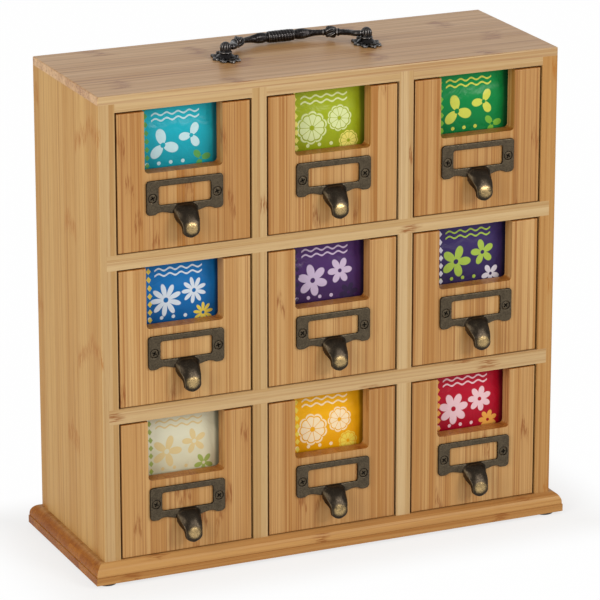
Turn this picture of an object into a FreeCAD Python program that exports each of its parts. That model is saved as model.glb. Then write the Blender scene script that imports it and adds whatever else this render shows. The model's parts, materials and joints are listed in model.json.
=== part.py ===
import FreeCAD, Part

import math
import os

# A tabletop chest of nine small drawers in bamboo, on a moulded base board with four round feet.
# Each drawer has a U-shaped notch, a cast label pull and a few packed sachets. A swinging cast
# handle sits on top.
#
# Millimetres. X runs to the right, Y to the back and Z up. The origin is the middle of the
# footprint of the whole chest, pulls included, on the surface that it stands on.

V = FreeCAD.Vector

# ---------------------------------------------------------------- driving dimensions

# Casing: nine openings, and the boards around them.
columns = 3
rows = 3
opening_width = 84.0
opening_height = 83.5
case_depth = 105.0
side_thickness = 10.0
top_thickness = 10.0
top_lip = 5.0                 # thickness of the top where it laps over the ends of the sides
shelf_thickness = 9.0
divider_thickness = 9.0
shelf_housing = 6.0           # how far a shelf enters each side
divider_housing = 5.5         # how far a divider enters the top
back_thickness = 3.0
back_rebate = 5.0             # how far the back panel enters the sides and the top
panel_edge_radius = 0.8

# Base board: a square lower edge, then a convex moulding on all four sides.
base_thickness = 12.0
base_side_overhang = 7.0
base_front_overhang = 5.0
base_rear_overhang = 5.0
base_square_edge = 4.5
moulding_flat = 0.2           # flat left between the moulding and the casing's front
moulding_step = 0.5           # ledge between the square edge and the foot of the moulding
moulding_bulge = 1.5          # how far the moulding stands out from its chord

# Feet.
foot_radius = 6.0
foot_height = 2.0
foot_inset_x = 9.0
foot_inset_y = 8.0
foot_chamfer = 0.4

# Screws from below, through the base board into the sides and dividers.
base_screw_head_radius = 3.4
base_screw_shank_radius = 1.7
base_screw_length = 28.0
base_screw_sink = 0.4         # depth of the head below the board's underside
base_screw_setback = 25.0     # distance of each screw from the casing's front or rear
screw_clearance = 0.05
recess_reach = 0.5            # arm of a cross recess, as a share of the head's radius
recess_half_width = 0.13      # half its width, as a share of the head's radius
recess_depth = 0.6            # its depth, as a share of the head's height

# Drawers.
drawer_side_gap = 1.0
drawer_top_gap = 1.2
drawer_bottom_gap = 0.3
drawer_rear_gap = 3.0
front_recess = 0.5            # the drawer front sits this far behind the casing's front
front_thickness = 9.0
front_edge_radius = 0.7
wall_thickness = 5.0
wall_drop = 12.0              # the side walls are this much lower than the front
wall_lap = 4.0                # how far the side walls enter the front's rebates
rear_wall_setback = 4.0       # the rear wall stands this far inside the side walls' ends
rear_wall_housing = 2.0       # how far the rear wall enters the side walls
floor_thickness = 3.0
floor_height = 3.0            # height of the floor above the lower edge of the walls
floor_groove = 2.5            # depth of the grooves that hold the floor
notch_width = 48.0
notch_depth = 36.5
notch_radius = 2.5

# Sachets that stand in each drawer, close behind the front.
sachet_count = 4
sachet_thickness = 4.2
sachet_gap = 0.5
sachet_front_gap = 1.0
sachet_side_room = 3.0
sachet_head_room = 3.0        # space between a sachet and the ceiling of its opening
sachet_floor_gap = 0.2

# Label pull: a cast plate with a window, two lobes below, and a hooked tongue.
plate_width = 47.5
plate_height = 20.4
plate_thickness = 1.5
plate_corner_radius = 2.2
plate_notch_gap = 4.3         # between the notch and the plate
lobe_width = 5.4
lobe_radius = 2.6
scallop_rise = 1.4
window_width = 32.0
window_height = 11.1
window_band = 3.7             # width of the plate above the window
window_radius = 1.2
tongue_root_width = 16.4
tongue_tip_width = 10.4
tongue_thickness = 2.6
tongue_reach = 11.8           # from the drawer front to the outermost point
tongue_drop = 12.8            # from the plate's lowest edge to the tip
tongue_root_step = 0.2        # the tongue starts this far below the window's lower edge
tongue_tip_reach = 0.95       # the tip turns back to this share of the reach
tongue_tip_thinning = 0.8     # thickness of the tip, as a share of the tongue's
pull_screw_spacing = 39.7
pull_screw_drop = 10.4        # below the plate's top edge
pull_screw_head_radius = 2.3
pull_screw_shank_radius = 1.2
pull_screw_length = 8.5

# Swinging handle.
post_spacing = 90.0
post_foot_length = 25.0
post_foot_width = 16.0
post_foot_thickness = 1.6
post_foot_scallop = 0.8
post_foot_lobes = 8
pedestal_radius = 5.4
pedestal_height = 4.6
knuckle_radius = 3.4
pivot_height = 7.0
post_screw_offset = 8.6
post_screw_head_radius = 2.2
post_screw_head_height = 1.3
post_screw_shank_radius = 1.3
post_screw_length = 9.0
pin_radius = 1.6
pin_clearance = 0.06
pin_depth = 5.0               # how far a pin enters its knuckle
pin_end_gap = 0.4
shoulder_gap = 0.5            # between a knuckle and the shoulder of the bail
bail_drop = 24.0              # from the pivot axis to the axis of the grip
neck_bend = 3.0               # radius of the turn from an arm out to its knuckle
bail_rest_gap = 0.3
grip_radius = 4.0
grip_length = 18.0
grip_chamfer = 0.4
ring_radius = 3.3
groove_radius = 2.5
swelling_radius = 3.0
swelling_end_radius = 2.0
bar_radius = 1.5
collar_radius = 3.1
collar_end_radius = 2.3
neck_radius = 1.8

# ---------------------------------------------------------------- places worked out from them

case_width = 2 * side_thickness + columns * opening_width + (columns - 1) * divider_thickness
case_height = top_thickness + rows * opening_height + (rows - 1) * shelf_thickness

front_y = -(front_recess - tongue_reach + case_depth + base_rear_overhang) / 2
rear_y = front_y + case_depth
inner_rear_y = rear_y - back_thickness
middle_y = (front_y + rear_y) / 2
lap_y = (front_y + inner_rear_y) / 2

outer_x = case_width / 2
inner_x = outer_x - side_thickness

base_bottom = foot_height
case_bottom = base_bottom + base_thickness
case_top = case_bottom + case_height
ceiling = case_top - top_thickness

front_width = opening_width - 2 * drawer_side_gap
front_height = opening_height - drawer_top_gap - drawer_bottom_gap
drawer_front_y = front_y + front_recess
front_back_y = drawer_front_y + front_thickness
drawer_rear_y = inner_rear_y - drawer_rear_gap
inside_width = front_width - 2 * wall_thickness
rear_wall_front_y = drawer_rear_y - rear_wall_setback - wall_thickness

floor_top = floor_height + floor_thickness
sachet_width = inside_width - 2 * sachet_side_room
sachet_height = opening_height - drawer_bottom_gap - floor_top - sachet_floor_gap - sachet_head_room

plate_top = front_height - notch_depth - plate_notch_gap
plate_bottom = plate_top - plate_height
tongue_tip = plate_bottom - tongue_drop

pivot_z = case_top + pivot_height
rest_angle = math.degrees(math.asin((pivot_height - grip_radius - bail_rest_gap) / bail_drop))

# Room that keeps a cutter clear of the faces it cuts through.
through = 1.0


def opening_left(column):
    """Left edge of a column of openings."""
    return -inner_x + column * (opening_width + divider_thickness)


def opening_bottom(row):
    """Lower edge of a row of openings; row 0 is the top one."""
    return case_bottom + (rows - 1 - row) * (opening_height + shelf_thickness)


# ---------------------------------------------------------------- shapes

def block(x0, x1, y0, y1, z0, z1):
    """A box between two opposite corners."""
    return Part.makeBox(x1 - x0, y1 - y0, z1 - z0, V(x0, y0, z0))


def rounded(solid, radius, chosen):
    """Rounds the straight edges for which chosen(middle, direction) is true."""
    edges = []
    for edge in solid.Edges:
        direction = edge.tangentAt(edge.FirstParameter)
        if chosen(edge.CenterOfMass, direction):
            edges.append(edge)
    return solid.makeFillet(radius, edges)


def near(a, b):
    """True where two lengths are the same."""
    return abs(a - b) < 1e-6


def turned(shape, axis, angle, centre=V(0, 0, 0)):
    """A copy turned about an axis through a centre, in degrees."""
    copy = shape.copy()
    copy.rotate(centre, axis, angle)
    return copy


def moved(shape, x, y, z):
    """A copy moved by an offset."""
    copy = shape.copy()
    copy.translate(V(x, y, z))
    return copy


def mirrored_x(shape):
    """The mirror image on the other side of the chest."""
    return shape.mirror(V(0, 0, 0), V(1, 0, 0))


def screw(head_radius, head_height, shank_radius, length, countersunk=True, slack=0.0):
    """A wood screw along +Z, with its head's outer face at the origin.

    A slack over zero gives the cutter for its hole, without the cross recess.
    """
    shank = shank_radius + slack
    head = head_radius + slack
    tip_length = 2 * shank_radius
    straight = length - head_height - tip_length
    neck = shank if countersunk else head
    if countersunk:
        body = Part.makeCone(head, neck, head_height)
    else:
        body = Part.makeCylinder(head, head_height)
    body = body.fuse(Part.makeCylinder(shank, straight, V(0, 0, head_height)))
    tip = Part.makeCone(shank, shank_radius / 4 + slack, tip_length, V(0, 0, length - tip_length))
    body = body.fuse(tip)
    if slack:
        mouth = Part.makeCylinder(head, through, V(0, 0, -through))
        return body.fuse(mouth).removeSplitter()
    arm = head_radius * recess_reach
    half = head_radius * recess_half_width
    depth = head_height * recess_depth
    body = body.cut(block(-arm, arm, -half, half, -through, depth))
    return body.cut(block(-half, half, -arm, arm, -through, depth))


def export(name, solids):
    """Writes one node, as one solid or as a group of separate ones."""
    shape = solids[0] if len(solids) == 1 else Part.makeCompound(solids)
    shape.exportStep(os.path.join("parts", name + ".step"))


# ---------------------------------------------------------------- casing

def back_box():
    """The back panel, which is also the cutter for its rebates."""
    reach = inner_x + back_rebate
    return block(-reach, reach, inner_rear_y, rear_y, case_bottom, ceiling + back_rebate)


def shelf_box(row):
    """A shelf before its slots; it stands on the openings of the row below it."""
    reach = inner_x + shelf_housing
    bottom = opening_bottom(row) - shelf_thickness
    return block(-reach, reach, front_y, inner_rear_y, bottom, bottom + shelf_thickness)


def divider_box(column):
    """A divider before its slots; it stands to the right of a column of openings."""
    left = opening_left(column) + opening_width
    return block(left, left + divider_thickness, front_y, inner_rear_y,
                 case_bottom, ceiling + divider_housing)


def base_screw_places():
    """Where the screws rise from the base board into the upright boards."""
    uprights = [-outer_x + side_thickness / 2, outer_x - side_thickness / 2]
    for column in range(columns - 1):
        uprights.append(opening_left(column) + opening_width + divider_thickness / 2)
    depths = [front_y + base_screw_setback, rear_y - base_screw_setback]
    return [(x, y) for x in uprights for y in depths]


def base_screw_set(slack=0.0):
    """All screws of the base board, or the cutters for their holes."""
    head_height = base_screw_head_radius - base_screw_shank_radius
    one = screw(base_screw_head_radius, head_height, base_screw_shank_radius,
                base_screw_length, slack=slack)
    return [moved(one, x, y, base_bottom + base_screw_sink) for x, y in base_screw_places()]


def post_places():
    """The two handle posts' places on the top."""
    return [(-post_spacing / 2, middle_y), (post_spacing / 2, middle_y)]


def post_screw_set(slack=0.0):
    """The handle's screws, driven down through the posts' feet, or the cutters for them."""
    one = screw(post_screw_head_radius, post_screw_head_height, post_screw_shank_radius,
                post_screw_length, countersunk=False, slack=slack)
    one = turned(one, V(1, 0, 0), 180)
    top = case_top + post_foot_thickness + post_screw_head_height
    return [moved(one, x, y + side * post_screw_offset, top)
            for x, y in post_places() for side in (-1, 1)]


def cut_all(solid, cutters):
    """The solid with every cutter that reaches it taken out."""
    for cutter in cutters:
        if solid.BoundBox.intersect(cutter.BoundBox):
            solid = solid.cut(cutter)
    return solid


def top_panel():
    """The top, rebated over the sides and the back, and housed for the dividers."""
    board = block(-outer_x, outer_x, front_y, rear_y, ceiling, case_top)
    board = rounded(board, panel_edge_radius,
                    lambda middle, direction: not near(middle.z, ceiling))
    cutters = [back_box()]
    for left in (-outer_x, inner_x):
        cutters.append(block(left, left + side_thickness, front_y - through, rear_y + through,
                             ceiling - through, case_top - top_lip))
    cutters += [divider_box(column) for column in range(columns - 1)]
    return cut_all(board, cutters + post_screw_set(screw_clearance))


def side_panel():
    """The left side, housed for the shelves and rebated for the back."""
    board = block(-outer_x, -inner_x, front_y, rear_y, case_bottom, case_top - top_lip)
    board = rounded(board, panel_edge_radius,
                    lambda middle, direction: near(middle.x, -outer_x) and near(abs(direction.z), 1))
    shelves = [shelf_box(row) for row in range(rows - 1)]
    return cut_all(board, [back_box()] + shelves + base_screw_set(screw_clearance))


def shelf(row):
    """A shelf, slotted from the back for the dividers."""
    board = shelf_box(row)
    for column in range(columns - 1):
        slot = divider_box(column).common(block(-outer_x, outer_x, lap_y, inner_rear_y,
                                                case_bottom, case_top))
        board = board.cut(slot)
    return board


def divider(column):
    """A divider, slotted from the front for the shelves."""
    board = divider_box(column)
    for row in range(rows - 1):
        slot = shelf_box(row).common(block(-outer_x, outer_x, front_y, lap_y,
                                           case_bottom, case_top))
        board = board.cut(slot)
    return cut_all(board, base_screw_set(screw_clearance) + post_screw_set(screw_clearance))


def moulded_section(half, back, run):
    """Half-open outline of the base board from one moulded edge to the other.

    The board runs from -half to back; the moulding takes up run at each end.
    """
    square_top = base_bottom + base_square_edge
    top = case_bottom
    rise = top - square_top
    chord = math.hypot(run - moulding_step, rise)
    middle_in = (run + moulding_step) / 2 - moulding_bulge * rise / chord
    middle_up = (square_top + top) / 2 + moulding_bulge * (run - moulding_step) / chord
    low = [V(-half, base_bottom, 0), V(-half, square_top, 0), V(-half + moulding_step, square_top, 0)]
    high = [V(back - moulding_step, square_top, 0), V(back, square_top, 0), V(back, base_bottom, 0)]
    edges = [Part.LineSegment(a, b).toShape() for a, b in zip(low, low[1:])]
    edges.append(Part.Arc(low[-1], V(-half + middle_in, middle_up, 0), V(-half + run, top, 0)).toShape())
    edges.append(Part.LineSegment(V(-half + run, top, 0), V(back - run, top, 0)).toShape())
    edges.append(Part.Arc(V(back - run, top, 0), V(back - middle_in, middle_up, 0), high[0]).toShape())
    edges += [Part.LineSegment(a, b).toShape() for a, b in zip(high, high[1:])]
    edges.append(Part.LineSegment(high[-1], low[0]).toShape())
    return Part.Face(Part.Wire(edges))


def base_board():
    """The base board: two moulded bars crossed, which mitres the mouldings at the corners."""
    run = min(base_front_overhang, base_side_overhang, base_rear_overhang) - moulding_flat
    half_x = outer_x + base_side_overhang
    y0 = front_y - base_front_overhang
    y1 = rear_y + base_rear_overhang
    across = moulded_section(half_x, half_x, run)
    across = turned(across, V(1, 0, 0), 90)
    across = moved(across, 0, y0, 0).extrude(V(0, y1 - y0, 0))
    along = moulded_section(-y0, y1, run)
    along = turned(along, V(1, 0, 0), 90)
    along = turned(along, V(0, 0, 1), 90)
    along = moved(along, -half_x, 0, 0).extrude(V(2 * half_x, 0, 0))
    return cut_all(across.common(along).removeSplitter().Solids[0], base_screw_set(screw_clearance))


def feet():
    """Four round pads under the corners of the base board."""
    pad = Part.makeCylinder(foot_radius, foot_height)
    pad = pad.makeChamfer(foot_chamfer, [edge for edge in pad.Edges
                                         if edge.Closed and near(edge.CenterOfMass.z, 0)])
    x = outer_x + base_side_overhang - foot_inset_x
    front = front_y - base_front_overhang + foot_inset_y
    rear = rear_y + base_rear_overhang - foot_inset_y
    return [moved(pad, side * x, y, 0) for side in (-1, 1) for y in (front, rear)]


# ---------------------------------------------------------------- handle

def handle_post(side):
    """A cast post: a scalloped foot, a flared stem and a domed knuckle with a blind pin hole."""
    points = []
    steps_per_lobe = 8
    steps = steps_per_lobe * post_foot_lobes
    for step in range(steps):
        angle = 2 * math.pi * step / steps
        wave = post_foot_scallop / 2 * math.cos(post_foot_lobes * angle)
        points.append(V((post_foot_width / 2 - post_foot_scallop / 2 + wave) * math.cos(angle),
                        (post_foot_length / 2 - post_foot_scallop / 2 + wave) * math.sin(angle), 0))
    outline = Part.BSplineCurve()
    outline.interpolate(points, PeriodicFlag=True)
    foot = Part.Face(Part.Wire(outline.toShape())).extrude(V(0, 0, post_foot_thickness))
    flare = Part.makeCone(pedestal_radius, knuckle_radius, pedestal_height - post_foot_thickness,
                          V(0, 0, post_foot_thickness))
    stem = Part.makeCylinder(knuckle_radius, pivot_height - post_foot_thickness,
                             V(0, 0, post_foot_thickness))
    dome = Part.makeSphere(knuckle_radius, V(0, 0, pivot_height))
    post = foot.fuse(flare).fuse(stem).fuse(dome)
    inward = V(-side, 0, 0)
    hole = Part.makeCylinder(pin_radius + pin_clearance, 2 * knuckle_radius,
                             V(side * (pin_depth - knuckle_radius + pin_end_gap), 0, pivot_height), inward)
    post = moved(post.cut(hole), side * post_spacing / 2, middle_y, case_top)
    return cut_all(post, post_screw_set(screw_clearance))


def bail():
    """The swinging handle, lying back on the top: pins, necks, collars, bars and a round grip.

    Each arm is a quarter of an ellipse from the grip's end. A tight quarter turn then takes it out
    to its knuckle.
    """
    grip_end = grip_length / 2
    neck_end = post_spacing / 2 - knuckle_radius - shoulder_gap
    arm_x = neck_end - neck_bend - grip_end
    arm_y = bail_drop - neck_bend
    # Share of the quarter of the ellipse from the grip to the neck, and the radius there.
    profile = [
        (0.00, ring_radius), (0.04, groove_radius), (0.14, swelling_radius), (0.26, swelling_end_radius),
        (0.34, bar_radius), (0.42, bar_radius), (0.48, collar_end_radius), (0.56, collar_radius),
        (0.64, collar_end_radius), (0.70, neck_radius), (0.85, neck_radius), (1.00, neck_radius),
    ]

    hoops = []
    for share, radius in profile:
        angle = math.radians(90 * (1 - share))
        x = grip_end + arm_x * math.cos(angle)
        back = neck_bend + arm_y * math.sin(angle)
        heading = math.degrees(math.atan2(-arm_y * math.cos(angle), arm_x * math.sin(angle)))
        ring = Part.Wire(Part.Circle(V(0, 0, 0), V(1, 0, 0), radius).toShape())
        hoops.append(moved(turned(ring, V(0, 0, 1), heading), x, back, 0))
    arm = Part.makeLoft(hoops, True)

    bend = Part.makeTorus(neck_bend, neck_radius, V(0, 0, 0), V(0, 0, 1), -180, 180, 90)
    bend = moved(turned(bend, V(0, 0, 1), 180), neck_end, neck_bend, 0)
    pin = Part.makeCylinder(pin_radius, shoulder_gap + pin_depth, V(neck_end, 0, 0), V(1, 0, 0))
    half = arm.fuse(bend).fuse(pin)
    grip = Part.makeCylinder(grip_radius, grip_length, V(-grip_end, bail_drop, 0), V(1, 0, 0))
    grip = grip.makeChamfer(grip_chamfer, [edge for edge in grip.Edges if edge.Closed])
    loop = grip.fuse(half).fuse(mirrored_x(half))
    loop = turned(loop, V(1, 0, 0), -rest_angle)
    return moved(loop, 0, middle_y, pivot_z)


# ---------------------------------------------------------------- drawers
#
# A drawer is modelled with X from its middle, Z from the lower edge of its front, and Y in place.

def side_wall_boxes():
    """The two side walls before their grooves, and the cutters for the front's rebates."""
    left = block(-front_width / 2, -front_width / 2 + wall_thickness,
                 front_back_y - wall_lap, drawer_rear_y, 0, front_height - wall_drop)
    return [left, mirrored_x(left)]


def floor_box():
    """The drawer's floor, which is also the cutter for the grooves that hold it."""
    half = inside_width / 2 + floor_groove
    return block(-half, half, front_back_y - floor_groove, rear_wall_front_y + floor_groove,
                 floor_height, floor_top)


def rear_wall_box():
    """The drawer's rear wall, housed in the side walls."""
    half = inside_width / 2 + rear_wall_housing
    return block(-half, half, rear_wall_front_y, rear_wall_front_y + wall_thickness,
                 0, front_height - wall_drop)


def drawer_front():
    """The front: a notch open at the top, rebates for the side walls and a groove for the floor."""
    board = block(-front_width / 2, front_width / 2, drawer_front_y, front_back_y, 0, front_height)
    board = rounded(board, front_edge_radius, lambda middle, direction: near(middle.y, drawer_front_y))
    notch = block(-notch_width / 2, notch_width / 2, drawer_front_y - through, front_back_y + through,
                  front_height - notch_depth, front_height + through + notch_radius)
    notch = rounded(notch, notch_radius, lambda middle, direction:
                    near(abs(direction.y), 1) and near(middle.z, front_height - notch_depth))
    return cut_all(board, [notch] + side_wall_boxes() + [floor_box()] + pull_screw_set(screw_clearance))


def drawer_walls():
    """Left and right side walls and the rear wall."""
    sides = [wall.cut(floor_box()).cut(rear_wall_box()) for wall in side_wall_boxes()]
    return sides + [rear_wall_box().cut(floor_box())]


def sachets():
    """Packed sachets, standing one behind the other close to the front."""
    packed = []
    bottom = floor_top + sachet_floor_gap
    for place in range(sachet_count):
        y0 = front_back_y + sachet_front_gap + place * (sachet_thickness + sachet_gap)
        packed.append(block(-sachet_width / 2, sachet_width / 2, y0, y0 + sachet_thickness,
                            bottom, bottom + sachet_height))
    return packed


def pull_screw_set(slack=0.0):
    """The pull's two screws, driven in from the front, or the cutters for their holes."""
    head_height = pull_screw_head_radius - pull_screw_shank_radius
    one = screw(pull_screw_head_radius, head_height, pull_screw_shank_radius,
                pull_screw_length, slack=slack)
    one = turned(one, V(1, 0, 0), -90)
    return [moved(one, side * pull_screw_spacing / 2, drawer_front_y - plate_thickness,
                  plate_top - pull_screw_drop) for side in (-1, 1)]


def line(*points):
    """Straight edges through points given as (x, z) on the drawer's front."""
    corners = [V(x, drawer_front_y, z) for x, z in points]
    return [Part.LineSegment(a, b).toShape() for a, b in zip(corners, corners[1:])]


def arc(start, through_point, end):
    """An arc edge through three points given as (x, z) on the drawer's front."""
    return Part.Arc(*[V(x, drawer_front_y, z) for x, z in (start, through_point, end)]).toShape()


def plate():
    """The pull's plate: rounded above, lobed and scalloped below, with a window."""
    half = plate_width / 2
    corner = plate_corner_radius
    bow = 1 - math.sqrt(0.5)
    root = tongue_root_width / 2
    lobe_end = half - lobe_width
    middle = (lobe_end + root) / 2
    right = [
        arc((half - corner, plate_top), (half - corner * bow, plate_top - corner * bow),
            (half, plate_top - corner)),
        line((half, plate_top - corner), (half, plate_bottom + lobe_radius))[0],
        arc((half, plate_bottom + lobe_radius),
            (half - lobe_radius * bow, plate_bottom + lobe_radius * bow),
            (half - lobe_radius, plate_bottom)),
        line((half - lobe_radius, plate_bottom), (lobe_end, plate_bottom + scallop_rise / 6))[0],
        arc((lobe_end, plate_bottom + scallop_rise / 6), (middle, plate_bottom + scallop_rise),
            (root, plate_bottom)),
    ]
    left = [mirrored_x(edge) for edge in right]
    across = line((-half + corner, plate_top), (half - corner, plate_top))
    across += line((-root, plate_bottom), (root, plate_bottom))
    edges = Part.sortEdges(right + left + across)[0]
    body = Part.Face(Part.Wire(edges)).extrude(V(0, -plate_thickness, 0))
    window_top = plate_top - window_band
    window = block(-window_width / 2, window_width / 2, drawer_front_y - 2 * plate_thickness,
                   drawer_front_y + through, window_top - window_height, window_top)
    window = rounded(window, window_radius, lambda middle, direction: near(abs(direction.y), 1))
    return body.cut(window)


def tongue():
    """The hooked tongue: its side outline crossed with its tapered front outline."""
    face = drawer_front_y
    root_top = plate_top - window_band - window_height
    root_low = plate_bottom + scallop_rise
    reach = tongue_reach
    thick = tongue_thickness
    fall = root_top - tongue_tip

    def side_point(out, down):
        return V(0, face - out, root_top - down)

    # The outline's points, out from the drawer's front and down from the window's lower edge.
    tip_out = tongue_tip_reach * reach
    tip_back = tip_out - tongue_tip_thinning * thick
    outer = Part.BSplineCurve()
    outer.interpolate([side_point(0, tongue_root_step), side_point(0.32 * reach, 0.07 * fall),
                       side_point(0.68 * reach, 0.26 * fall), side_point(0.92 * reach, 0.54 * fall),
                       side_point(reach, 0.80 * fall), side_point(tip_out, fall)])
    inner = Part.BSplineCurve()
    inner.interpolate([side_point(tip_back, fall), side_point(reach - thick, 0.80 * fall),
                       side_point(0.88 * reach - thick, 0.58 * fall), side_point(0.46 * reach, 0.38 * fall),
                       side_point(0, root_top - root_low)])
    edges = [outer.toShape(),
             Part.LineSegment(side_point(tip_out, fall), side_point(tip_back, fall)).toShape(),
             inner.toShape(),
             Part.LineSegment(side_point(0, root_top - root_low), side_point(0, tongue_root_step)).toShape()]
    wide = tongue_root_width
    profile = Part.Face(Part.Wire(edges)).extrude(V(wide, 0, 0))
    profile = moved(profile, -wide / 2, 0, 0)
    root = tongue_root_width / 2
    tip = tongue_tip_width / 2
    shoulder = tongue_tip + tip
    above = root_top + through
    front = line((-tip, shoulder), (-root, plate_bottom), (-root, above), (root, above),
                 (root, plate_bottom), (tip, shoulder))
    front.append(arc((tip, shoulder), (0, tongue_tip), (-tip, shoulder)))
    outline = moved(Part.Face(Part.Wire(front)), 0, through, 0)
    outline = outline.extrude(V(0, -reach - 2 * through, 0))
    return profile.common(outline)


def pull():
    """The cast pull, holed for its screws."""
    body = plate().fuse(tongue()).removeSplitter()
    return cut_all(body.Solids[0], pull_screw_set(screw_clearance))


def main():
    """Writes every node to parts/."""
    os.makedirs("parts", exist_ok=True)
    left_side = side_panel()
    export("top_panel", [top_panel()])
    export("side_left", [left_side])
    export("side_right", [mirrored_x(left_side)])
    export("shelf_upper", [shelf(0)])
    export("shelf_lower", [shelf(1)])
    export("divider_left", [divider(0)])
    export("divider_right", [divider(1)])
    export("back_panel", [back_box()])
    export("base_board", [base_board()])
    export("base_screws", base_screw_set())
    export("feet", feet())
    export("handle_post_left", [handle_post(-1)])
    export("handle_post_right", [handle_post(1)])
    export("handle_screws", post_screw_set())
    export("handle_bail", [bail()])

    drawer = {
        "front": [drawer_front()],
        "walls": drawer_walls(),
        "floor": [floor_box()],
        "pull": [pull()] + pull_screw_set(),
        "sachets": sachets(),
    }
    for row in range(rows):
        for column in range(columns):
            number = row * columns + column + 1
            x = opening_left(column) + opening_width / 2
            z = opening_bottom(row) + drawer_bottom_gap
            for piece, solids in drawer.items():
                export(f"drawer_{number}_{piece}", [moved(solid, x, 0, z) for solid in solids])


if __name__ == "__main__":
    main()
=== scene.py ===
"""Finish for a tabletop tea chest: bamboo boards, cast label pulls, packed sachets and a cast handle.

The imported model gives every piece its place. This script dresses its boards in bamboo, and models
the castings, the screws and the sachets that stand in the drawers. Lengths are metres.
"""

import json
import math

import bmesh
import bpy
import numpy as np
from bpy.props import FloatProperty, FloatVectorProperty, IntProperty, PointerProperty
from mathutils import Euler, Matrix, Vector


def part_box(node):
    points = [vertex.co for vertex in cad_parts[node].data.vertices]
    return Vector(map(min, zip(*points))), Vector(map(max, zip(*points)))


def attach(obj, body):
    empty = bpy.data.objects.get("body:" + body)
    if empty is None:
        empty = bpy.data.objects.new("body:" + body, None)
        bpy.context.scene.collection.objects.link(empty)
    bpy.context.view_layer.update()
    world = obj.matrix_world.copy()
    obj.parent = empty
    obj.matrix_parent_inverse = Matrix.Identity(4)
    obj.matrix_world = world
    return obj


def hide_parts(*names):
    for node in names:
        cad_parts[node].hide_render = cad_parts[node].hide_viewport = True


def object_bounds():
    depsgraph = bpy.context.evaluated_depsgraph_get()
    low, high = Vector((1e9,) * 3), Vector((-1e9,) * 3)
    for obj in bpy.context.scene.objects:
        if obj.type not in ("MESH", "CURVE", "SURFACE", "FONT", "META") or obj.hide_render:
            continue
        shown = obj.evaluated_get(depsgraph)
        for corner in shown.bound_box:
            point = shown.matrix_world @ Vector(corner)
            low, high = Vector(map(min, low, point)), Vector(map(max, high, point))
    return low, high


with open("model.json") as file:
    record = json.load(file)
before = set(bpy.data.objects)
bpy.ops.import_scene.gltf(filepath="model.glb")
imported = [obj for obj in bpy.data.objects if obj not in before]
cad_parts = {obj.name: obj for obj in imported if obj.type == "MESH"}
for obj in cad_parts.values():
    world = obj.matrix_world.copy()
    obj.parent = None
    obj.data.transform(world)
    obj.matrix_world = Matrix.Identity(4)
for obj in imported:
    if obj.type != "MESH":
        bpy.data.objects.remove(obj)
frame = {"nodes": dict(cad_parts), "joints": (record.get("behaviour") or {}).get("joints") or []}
cad_low, cad_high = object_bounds()

bl_info = {
    "name": "Tea chest finish",
    "version": (1, 0, 0),
    "blender": (4, 5, 0),
    "location": "3D View > Sidebar > Tea Chest",
    "description": "Dresses a nine-drawer bamboo tea chest and sets up its studio",
    "category": "Object",
}

MM = 0.001
DRAWERS = range(1, 10)
CASE_BOARDS = {
    # node: (axis of the grain, axis across it, axis through the board)
    "top_panel": "XYZ",
    "side_left": "ZYX",
    "side_right": "ZYX",
    "shelf_upper": "XYZ",
    "shelf_lower": "XYZ",
    "divider_left": "ZYX",
    "divider_right": "ZYX",
    "back_panel": "ZXY",
    "base_board": "XYZ",
}


# ---------------------------------------------------------------- settings

def length(name, description, default):
    """A length setting in metres."""
    return FloatProperty(name=name, description=description, default=default, unit="LENGTH",
                         precision=5, min=0.0)


def share(name, description, default):
    """A setting from 0 to 1."""
    return FloatProperty(name=name, description=description, default=default, min=0.0, max=1.0,
                         subtype="FACTOR")


def colour(name, description, default):
    """A linear colour setting."""
    return FloatVectorProperty(name=name, description=description, default=default, size=3,
                               min=0.0, max=1.0, subtype="COLOR")


def linear(red, green, blue):
    """Scene-linear colour from 0 to 255 display values."""
    def channel(value):
        value /= 255
        return value / 12.92 if value <= 0.04045 else ((value + 0.055) / 1.055) ** 2.4
    return tuple(channel(value) for value in (red, green, blue))


class BambooSettings(bpy.types.PropertyGroup):
    """Laminated bamboo, as boards and as narrow-strip drawer fronts."""

    pale: colour("Pale strip", "Lightest strips of the boards", linear(204, 176, 132))
    golden: colour("Golden strip", "Darkest strips of the boards", linear(181, 145, 94))
    side_pale: colour("Pale side strip", "Lightest strips of the sides", linear(205, 166, 108))
    side_golden: colour("Golden side strip", "Darkest strips of the sides", linear(186, 139, 80))
    base_pale: colour("Pale base strip", "Lightest strips of the base", linear(200, 155, 97))
    base_golden: colour("Golden base strip", "Darkest strips of the base", linear(163, 112, 60))
    top_pale: colour("Pale top strip", "Lightest strips of the top", linear(211, 171, 123))
    top_golden: colour("Golden top strip", "Darkest strips of the top", linear(187, 140, 86))
    cut_end: colour("Cut ends", "Stain of faces across the grain, multiplied in", (0.72, 0.46, 0.14))
    # Painted shade for the gaps beside the drawer fronts, laid on the fronts' long edges.
    painted_gap_shade: colour("Painted gap shade", "Long edges of the drawer fronts", linear(70, 37, 17))
    front_pale: colour("Pale front strip", "Lightest strips of the drawer fronts", linear(200, 160, 106))
    front_golden: colour("Golden front strip", "Darkest strips of the drawer fronts", linear(174, 124, 68))
    fibre: colour("Fibre", "Dark fibres that run along the grain", linear(150, 98, 52))
    knot: colour("Knot", "Flecks where the cane had a joint", linear(142, 86, 42))
    side_knot: colour("Side knot", "Flecks of the joints on the sides", linear(172, 114, 56))
    strip: length("Strip", "Width of one strip in a board", 0.019)
    front_strip: length("Front strip", "Width of one strip in a drawer front", 0.0052)
    layer: length("Layer", "Thickness of one layer of strips", 0.005)
    lacquer: share("Lacquer roughness", "Roughness of the clear satin lacquer", 0.36)


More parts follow.
